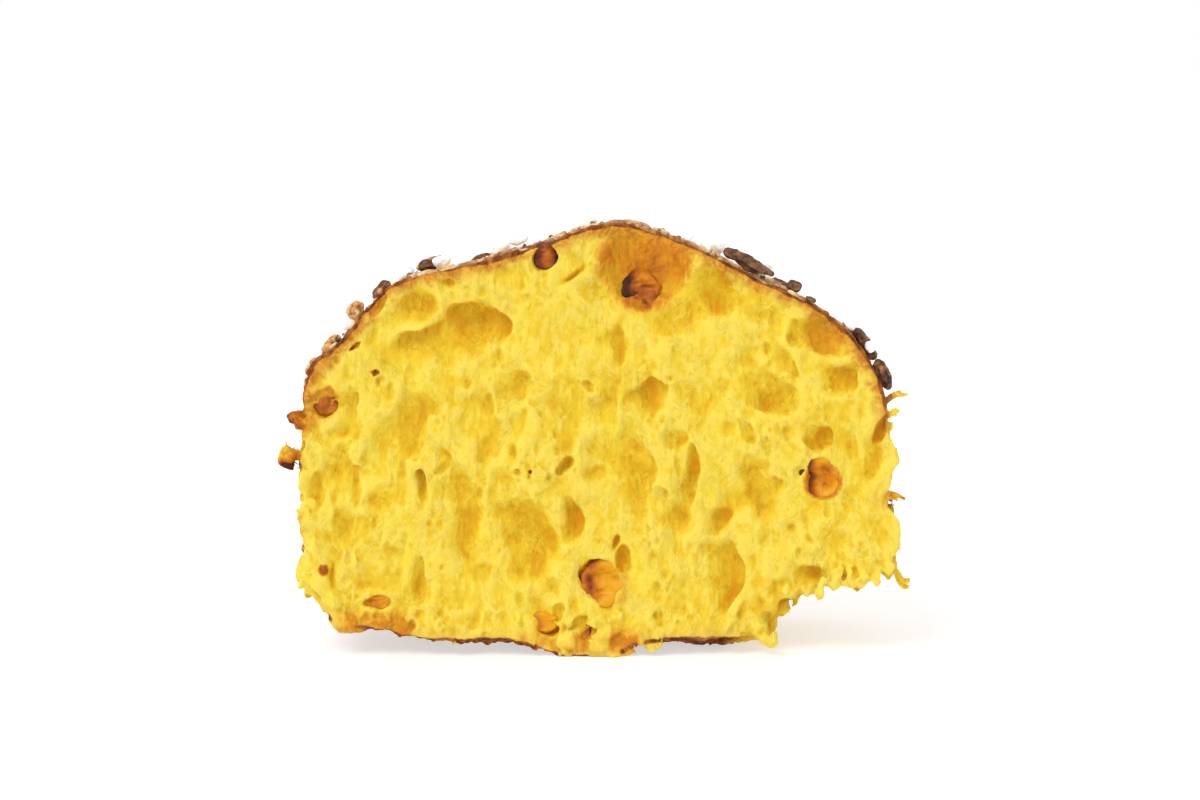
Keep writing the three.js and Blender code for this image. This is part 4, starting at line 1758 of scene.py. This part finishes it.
@dataclass(frozen=True)
class OpenCrumb:
    """Leavened egg crumb, baked and cut: a soft, slightly moist foam.

    The ridges between the cells are painted pale as a painted highlight, and the cells are painted golden and
    darker as painted shade and glow, for the light that passes through their thin walls. The skin baked
    brown, darkest under the glaze.
    """

    # The tones run from the painted highlight of the pale ridges to the painted shade of the amber hollows
    # and pores, with random mottle and streaks mixed in.
    pale: str = "#ead154"
    light: str = "#e5c634"
    mid: str = "#e0b825"
    golden: str = "#d5a414"
    amber: str = "#d8960e"
    lemon: str = "#ecd63c"
    roughness: float = 0.72
    # Real fibres are about 0.3 mm wide and the finest grain 0.2 mm, too fine to show, so both are
    # drawn as coarse as they need to show. Films and pits have their real spacing.
    fibre: float = 0.8
    grain: float = 0.45
    film: float = 2.6
    pit: float = 1.5

    def make(self) -> Finish:
        """Builds the material.

        Returns:
            The material.
        """
        s = Surface("egg_crumb_baked_and_cut")
        s.bend(11.0, 7.0)
        left, right = (s.noise(self.fibre, 4, 0.6, tilt, stretch=(1, 1, 4.5)) for tilt in (24, -20))
        silk = s.add("most", left, right)
        wisps = s.add("most", self.add_wisps(s, 30), self.add_wisps(s, -38))
        pits = self.add_pits(s)
        # Painted shade: how sunken a place is, how far below the cut it lies, the pits and the pore mark all
        # darken the colour towards golden and amber. This stands for shade and for light passing through thin
        # walls. Silk, wisps and mottle are the crumb's own streaks and tone.
        hollow = s.add("spread", s.add("mark", attribute_name="fold"), 0.40, 0.74)
        depth = s.add("spread", s.add("mark", attribute_name="deep"), 0.2, 3.0)
        mottle = s.add("minus", s.noise(2.6, 5, 0.62, stretch=(1, 1, 1.5)), 0.5)
        shade = s.total(
            s.add("times", hollow, 0.5),
            s.add("times", depth, 0.42),
            s.add("times", s.add("minus", silk, 0.56), -0.8),
            s.add("times", mottle, 0.9),
            s.add("times", pits, 0.16),
            s.add("spread", s.add("mark", attribute_name="pore"), 0.62, 0.9, 0.0, 0.42),
            s.add("times", wisps, -0.26),
        )
        tones = (self.pale, self.light, self.mid, self.golden, self.amber)
        colour = s.add("ramp", shade, stops=list(zip((0.05, 0.24, 0.46, 0.74, 1.0), tones)))
        patches = s.add("spread", s.noise(8.0, 2, stretch=(1, 1, 1.3)), 0.55, 0.75, 0.0, 0.4)
        colour = s.add("blend", patches, colour, srgb(self.lemon))
        colour = self.add_brown_tint(s, colour)
        colour = self.add_crust(s, colour)
        fine = s.add("bump", s.noise(self.grain, 4, 0.65, stretch=(1, 1, 2.0)), 0.16 * MM)
        pitted = s.add("bump", s.add("times", pits, -1.0), 0.14 * MM, fine)
        relief = s.add("bump", s.add("plus", silk, s.add("times", wisps, 0.35)), 0.34 * MM, pitted)
        s.soften(0.5, (1.0, 0.7, 0.25), 1.6)
        return s.finish(Base_Color=colour, Roughness=self.roughness, Normal=relief, Specular_IOR_Level=0.2)

    def add_wisps(self, s: Surface, tilt: float) -> Socket:
        """Thin torn films between the cells: 1 along a film's edge and 0 between the films.

        Args:
            s: The material.
            tilt: The films' turn, in degrees.

        Returns:
            The pattern.
        """
        waves = s.noise(self.film, 3, 0.55, tilt, stretch=(1, 1, 2.6))
        from_edge = s.add("absolute", s.add("minus", waves, 0.5))
        broken = s.add("spread", s.noise(4.0, 3, stretch=(1, 1, 1.4)), 0.42, 0.6)
        return s.add("times", s.add("spread", from_edge, 0.0, 0.035, 1.0, 0.0), broken)

    def add_pits(self, s: Surface) -> Socket:
        """The smallest pores, in patches: 1 in the middle of a pit and 0 between the pits.

        Args:
            s: The material.

        Returns:
            The pattern.
        """
        s.bend(3.0, 1.4)
        cells = s.add("cells", s.add("placed", s.place, (1, 1, 1.6)), 1 / (self.pit * MM))
        crowd = s.add("spread", s.noise(6.0, 3, stretch=(1, 1, 1.2)), 0.4, 0.62)
        return s.add("times", s.add("spread", cells, 0.42, 0.16), crowd)

    def add_brown_tint(self, s: Surface, colour: Socket) -> Socket:
        """Browns the walls of the listed holes and the torn tabs.

        Args:
            s: The material.
            colour: The crumb's colour.

        Returns:
            The new colour.
        """
        patchy = s.add("spread", s.noise(1.4, 4, 0.6, stretch=(1, 1, 1.6)), 0.3, 0.7, 0.6, 1.2)
        stain = s.add("times", s.add("mark", attribute_name="stain"), patchy)
        stops = [(0.1, "#dca21c"), (0.4, "#cc8214"), (0.72, "#a85c16"), (1.0, "#52260e")]
        brown = s.add("ramp", stain, stops=stops)
        return s.add("blend", s.add("spread", stain, 0.04, 0.36), colour, brown)

    def add_crust(self, s: Surface, colour: Socket) -> Socket:
        """Lays the baked skin over the crumb: a thin brown line, on an orange band under the dome.

        Args:
            s: The material.
            colour: The crumb's colour.

        Returns:
            The new colour.
        """
        crust, dome, base = (s.add("mark", attribute_name=name) for name in ("crust", "dome", "base"))
        whole = s.add("minus", 1.0, s.add("mark", attribute_name="torn"))
        uneven = s.add("minus", s.noise(3.4, 5, 0.6), 0.5)
        under = s.add("plus", crust, s.add("times", uneven, 6.5))
        band = s.add("spread", under, 0.8, 3.6, 1.0, 0.0)
        band = s.add("times", band, s.add("most", dome, s.add("times", base, 0.25)))
        stops = [(0.34, "#ae6018"), (0.5, "#cc821c"), (0.66, "#d9a034")]
        baked = s.add("ramp", s.noise(1.1, 4, 0.6), stops=stops)
        colour = s.add("blend", s.add("times", band, s.add("times", whole, 0.9)), colour, baked)
        sides = s.add("minus", 1.0, s.add("most", dome, base))
        inner = s.add("spread", s.add("mark", attribute_name="deep"), 0.5, 3.5)
        ripped = s.add("spread", s.noise(7.0, 4, 0.55, stretch=(1, 1, 1.6)), 0.3, 0.42, 0.45, 1.0)
        skin = s.add("times", sides, s.add("times", inner, ripped))
        strength = s.add("times", s.add("plus", s.add("most", dome, base), skin), whole)
        reach = s.add("plus", crust, s.add("times", uneven, 1.4))
        thicker = s.add("plus", s.add("times", dome, 0.3), s.add("times", base, 0.15))
        line = s.add("spread", s.add("minus", reach, thicker), 0.2, 0.6, 1.0, 0.0)
        tone = s.add("plus", s.noise(2.6, 5, 0.6), s.add("times", sides, 0.12))
        stops = [(0.34, "#4e2210"), (0.48, "#7a3e16"), (0.62, "#a8662a"), (0.8, "#c98e48")]
        dark = s.add("ramp", tone, stops=stops)
        return s.add("blend", s.add("times", line, strength), colour, dark)


@dataclass(frozen=True)
class BakedGlaze:
    """Ground almond, sugar and egg white, spread raw and baked to a dry, cracked shell.

    It is cream where it stayed thick, toasted along its cracks, and gritty with ground almond, whose
    grit is about 0.7 mm.
    """

    roughness: float = 0.5
    almond_grit: float = 0.7

    def make(self) -> Finish:
        """Builds the material.

        Returns:
            The material.
        """
        s = Surface("almond_glaze_baked_dry")
        blotch = s.noise(3.2, 5, 0.6)
        stops = [(0.32, "#a9733c"), (0.42, "#cf9f63"), (0.54, "#e6c792"), (0.68, "#f3e0b8")]
        cream = s.add("ramp", blotch, stops=stops)
        toasted = s.add("ramp", s.noise(1.2, 4), stops=[(0.35, "#7c4620"), (0.6, "#b87d40")])
        ragged = s.add("plus", s.add("mark", attribute_name="gap"), s.add("times", blotch, -1.4))
        colour = s.add("blend", s.add("spread", ragged, -0.3, 0.9, 1.0, 0.0), cream, toasted)
        flecks = s.add("spread", s.noise(0.6, 2), 0.66, 0.72, 0.0, 0.7)
        colour = s.add("blend", flecks, colour, srgb("#8b5426"))
        grit = s.add("bump", s.noise(self.almond_grit, 4, 0.6), 0.16 * MM)
        relief = s.add("bump", blotch, 0.3 * MM, grit)
        s.soften(0.15, (1.0, 0.7, 0.45), 0.8)
        return s.finish(Base_Color=colour, Roughness=self.roughness, Normal=relief, Specular_IOR_Level=0.4)


@dataclass(frozen=True)
class PressedSugar:
    """Sugar pressed into nibs: opaque white, chalky, with a faint sparkle from its crystals."""

    # Real crystals are about 0.2 mm wide, too fine to show, so they are drawn wider.
    crystal: float = 0.35
    roughness: float = 0.55

    def make(self) -> Finish:
        """Builds the material.

        Returns:
            The material.
        """
        s = Surface("pearl_sugar_pressed")
        cloud = s.noise(1.6, 3)
        colour = s.add("ramp", cloud, stops=[(0.3, "#f6eedc"), (0.44, "#fffcf4"), (0.6, "#ffffff")])
        relief = s.add("bump", s.noise(self.crystal, 3, 0.65), 0.1 * MM)
        s.soften(0.5, (1.0, 0.9, 0.8), 0.9)
        return s.finish(Base_Color=colour, Roughness=self.roughness, Normal=relief, Specular_IOR_Level=0.5)


@dataclass(frozen=True)
class RoastedAlmond:
    """Almonds roasted in their skins: dry, ridged and dark brown, with paler broken nut."""

    # The veins of the skin are about 0.5 mm apart.
    vein: float = 0.5
    roughness: float = 0.62

    def make(self) -> Finish:
        """Builds the material.

        Returns:
            The material.
        """
        s = Surface("almond_roasted_in_its_skin")
        mottle = s.noise(1.3, 5, 0.6)
        # Painted shade: the skin is darker in its grooves and lighter on its ridges.
        shade = s.add("plus", mottle, s.add("times", s.add("mark", attribute_name="groove"), 0.22))
        stops = [(0.3, "#2e170d"), (0.48, "#57341f"), (0.62, "#7b5434"), (0.78, "#a1764c")]
        skin = s.add("ramp", shade, stops=stops)
        nut = s.add("ramp", shade, stops=[(0.3, "#8f5424"), (0.48, "#c88d4c"), (0.66, "#e6bd84")])
        broken = s.add("plus", s.add("mark", attribute_name="bare"), s.add("minus", mottle, 0.5))
        bare = s.add("spread", broken, 0.3, 0.7)
        colour = s.add("blend", bare, skin, nut)
        fine = s.add("bump", s.noise(self.vein, 4, 0.6), 0.12 * MM)
        relief = s.add("bump", mottle, 0.2 * MM, fine)
        return s.finish(Base_Color=colour, Roughness=self.roughness, Normal=relief, Specular_IOR_Level=0.35)


@dataclass(frozen=True)
class CandiedRind:
    """Orange rind boiled in syrup: amber, sticky and glossy, see-through at its thin edges."""

    # The oil glands of the rind are about 0.7 mm wide.
    gland: float = 0.7
    roughness: float = 0.3

    def make(self) -> Finish:
        """Builds the material.

        Returns:
            The material.
        """
        s = Surface("orange_peel_candied")
        mottle = s.noise(1.1, 4, 0.6)
        mottled = s.add("times", s.add("minus", mottle, 0.5), 0.45)
        # Painted shade: the dark mark darkens each piece from one side to the other, on top of its own tone
        # and mottle.
        dark = s.add("plus", s.add("mark", attribute_name="dark"), mottled)
        # Painted shade: darker in the wrinkles' creases and lighter on their crests.
        dark = s.add("minus", dark, s.add("times", s.add("mark", attribute_name="wrinkle"), 0.3))
        stops = [(0.0, "#dc9c04"), (0.28, "#cf7f04"), (0.52, "#b05c06"), (0.76, "#7c3606"), (1.0, "#3c1506")]
        colour = s.add("ramp", dark, stops=stops)
        relief = s.add("bump", s.noise(self.gland, 4, 0.6), 0.24 * MM)
        s.soften(0.18, (1.0, 0.5, 0.12), 1.0)
        return s.finish(
            Base_Color=colour, Roughness=self.roughness, Normal=relief, Specular_IOR_Level=0.22,
            Coat_Weight=0.06, Coat_Roughness=0.2,
        )


# ---------------------------------------------------------------------------
# Studio
# ---------------------------------------------------------------------------


@dataclass
class Studio:
    """A pale floor and backdrop, soft light from the upper left, and a camera that faces the cut."""

    floor_radius: float = 3000.0
    wall_height: float = 750.0
    wall_sides: int = 96
    camera_distance: float = 600.0
    camera_height: float = 146.0
    aim_height: float = 54.2
    lens: float = 88.3
    key_from: Triple = (-0.42, -0.5, 0.76)
    key_power: float = 1.5
    key_softness: float = 28.0
    surround: float = 0.84
    floor_glow: float = 0.56

    def build(self) -> None:
        """Makes the floor, the backdrop, the lights and the camera."""
        self.build_floor()
        self.build_backdrop()
        self.add_sun("key", self.key_from, self.key_power, self.key_softness)
        self.build_world()
        self.build_camera()
        bpy.context.scene.view_settings.view_transform = "Standard"

    def rim(self, height: float) -> list[Triple]:
        """A ring of points at the floor's edge."""
        turns = [math.tau * i / self.wall_sides for i in range(self.wall_sides)]
        return [(self.floor_radius * math.cos(t), self.floor_radius * math.sin(t), height) for t in turns]

    def build_floor(self) -> None:
        """Makes the plain pale floor, which glows a little and so softens every shadow."""
        faces = np.arange(self.wall_sides).reshape(1, -1)
        finish = Surface("light_table_of_opal_glass").finish(
            Base_Color=srgb("#bcbcbc"), Roughness=0.7, Emission_Color=srgb("#ffffff"),
            Emission_Strength=self.floor_glow,
        )
        self.place("floor", np.array(self.rim(0.0)), faces, finish)

    def build_backdrop(self) -> None:
        """Makes the plain white wall around the floor."""
        count = self.wall_sides
        points = np.array(self.rim(0.0) + self.rim(self.wall_height))
        faces = np.array([(i, (i + 1) % count, count + (i + 1) % count, count + i) for i in range(count)])
        finish = Surface("lit_white_backdrop").finish(
            Base_Color=srgb("#000000"), Specular_IOR_Level=0.0, Emission_Color=srgb("#ffffff"),
            Emission_Strength=1.0,
        )
        self.place("backdrop", points, faces, finish)

    @staticmethod
    def place(name: str, points: Array, faces: Array, finish: Finish) -> None:
        """Adds a piece of the studio with its finish."""
        piece = link(name, make_mesh(name, points, faces))
        piece.data.materials.append(finish)

    @staticmethod
    def add_sun(name: str, direction: Triple, power: float, softness: float) -> None:
        """Adds a wide soft light that falls evenly from one direction.

        Args:
            name: The light's name.
            direction: Where the light comes from.
            power: Its strength, in watts a square metre.
            softness: How wide it looks from the slice, in degrees.
        """
        data = bpy.data.lights.new(name, "SUN")
        data.energy, data.angle = power, math.radians(softness)
        lamp = link(name, data)
        lamp.rotation_euler = Vector(direction).to_track_quat("Z", "Y").to_euler()

    def build_world(self) -> None:
        """Surrounds the scene with plain white light."""
        world = bpy.data.worlds.new("white_studio")
        world.use_nodes = True
        world.node_tree.nodes.clear()
        inputs = {"Color": srgb("#ffffff"), "Strength": self.surround}
        background = add_node(world.node_tree, "ShaderNodeBackground", inputs)
        add_node(world.node_tree, "ShaderNodeOutputWorld", {0: background.outputs[0]})
        bpy.context.scene.world = world

    def build_camera(self) -> None:
        """Sets the camera in front of the cut face, a little above it."""
        data = bpy.data.cameras.new("camera")
        data.lens, data.sensor_width = self.lens, 36.0
        camera = link("camera", data)
        front = CAD_BOX[0].y
        camera.location = (0.0, front - self.camera_distance * MM, self.camera_height * MM)
        aim = Vector((0.0, front, self.aim_height * MM))
        camera.rotation_euler = (aim - camera.location).to_track_quat("-Z", "Y").to_euler()
        bpy.context.scene.camera = camera


# ---------------------------------------------------------------------------
# Assembly
# ---------------------------------------------------------------------------


@dataclass
class StrewnGrains:
    """The small things that no CAD node stands for: nut crumbs, sugar dust and torn strands."""

    seed: int = 5
    pieces: list[tuple[Piece, Slot]] = field(default_factory=list)

    def build(self, cake: CakeSlice, glaze: AlmondGlaze, finishes: dict[Slot, Finish]) -> None:
        """Strews nut crumbs and sugar over the glaze, and strands over the torn edges.

        Args:
            cake: The slice.
            glaze: The glaze on it.
            finishes: Each slot's material.
        """
        nut = grain_mesh("nut_crumb", (1.5, 1.1, 0.9), 3, 6, 0.35, self.seed)
        set_mark(nut, "bare", np.full(len(nut.vertices), 0.42))
        crystal = grain_mesh("sugar_grain", (0.9, 0.8, 0.7), 3, 6, 0.25, self.seed + 1)
        strand = grain_mesh("torn_strand", (0.3, 0.34, 2.2), 5, 5, 0.3, self.seed + 2)
        for strewn, ground, grain, slot in (
            (Strewn("nut_crumbs", "upper", 2.0, 0.4, 1.25, 170.0, 3), glaze.piece, nut, Slot.ALMOND),
            (Strewn("sugar_grains", "upper", 2.2, 0.4, 1.3, 170.0, 8), glaze.piece, crystal, Slot.SUGAR),
            (Strewn("torn_strands", "torn", 7.0, 0.3, 0.9, 55.0, 12), cake.halves[0], strand, Slot.CRUMB),
        ):
            self.pieces.append((strewn.build(ground, grain, finishes[slot]), slot))

    def dress(self) -> None:
        """Makes the grains ride with the slice."""
        for piece, slot in self.pieces:
            settle(piece, slot)


def settle(piece: Piece, slot: Slot, *nodes: str) -> None:
    """Makes a finished piece ride on the slice's body and stand for its CAD nodes.

    Args:
        piece: The piece.
        slot: The slot of its material, which is not used.
        nodes: The nodes it stands for.
    """
    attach(piece, "root")
    if nodes:
        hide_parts(*nodes)
    LOG.info("%s: %d faces, stands for %s", piece.name, len(piece.data.polygons), nodes or "no node")


def main() -> None:
    """Builds the slice piece by piece."""
    logging.basicConfig(level=logging.INFO, format="%(name)s: %(message)s")
    Studio().build()
    finishes = {
        Slot.CRUMB: OpenCrumb().make(), Slot.GLAZE: BakedGlaze().make(), Slot.SUGAR: PressedSugar().make(),
        Slot.ALMOND: RoastedAlmond().make(), Slot.PEEL: CandiedRind().make(),
    }
    cake, glaze, sugar, almonds, peel = CakeSlice(), AlmondGlaze(), PearlSugar(), AlmondChips(), CandiedPeel()
    cake.build()
    glaze.build(cake)
    dome = Dome(cake)
    sugar.build(dome)
    almonds.build(dome)
    peel.build()
    grains = StrewnGrains()
    grains.build(cake, glaze, finishes)
    for part, slot in zip((cake, glaze, sugar, almonds, peel), Slot):
        part.dress(finishes[slot])
    grains.dress()


if __name__ == "__main__":
    main()
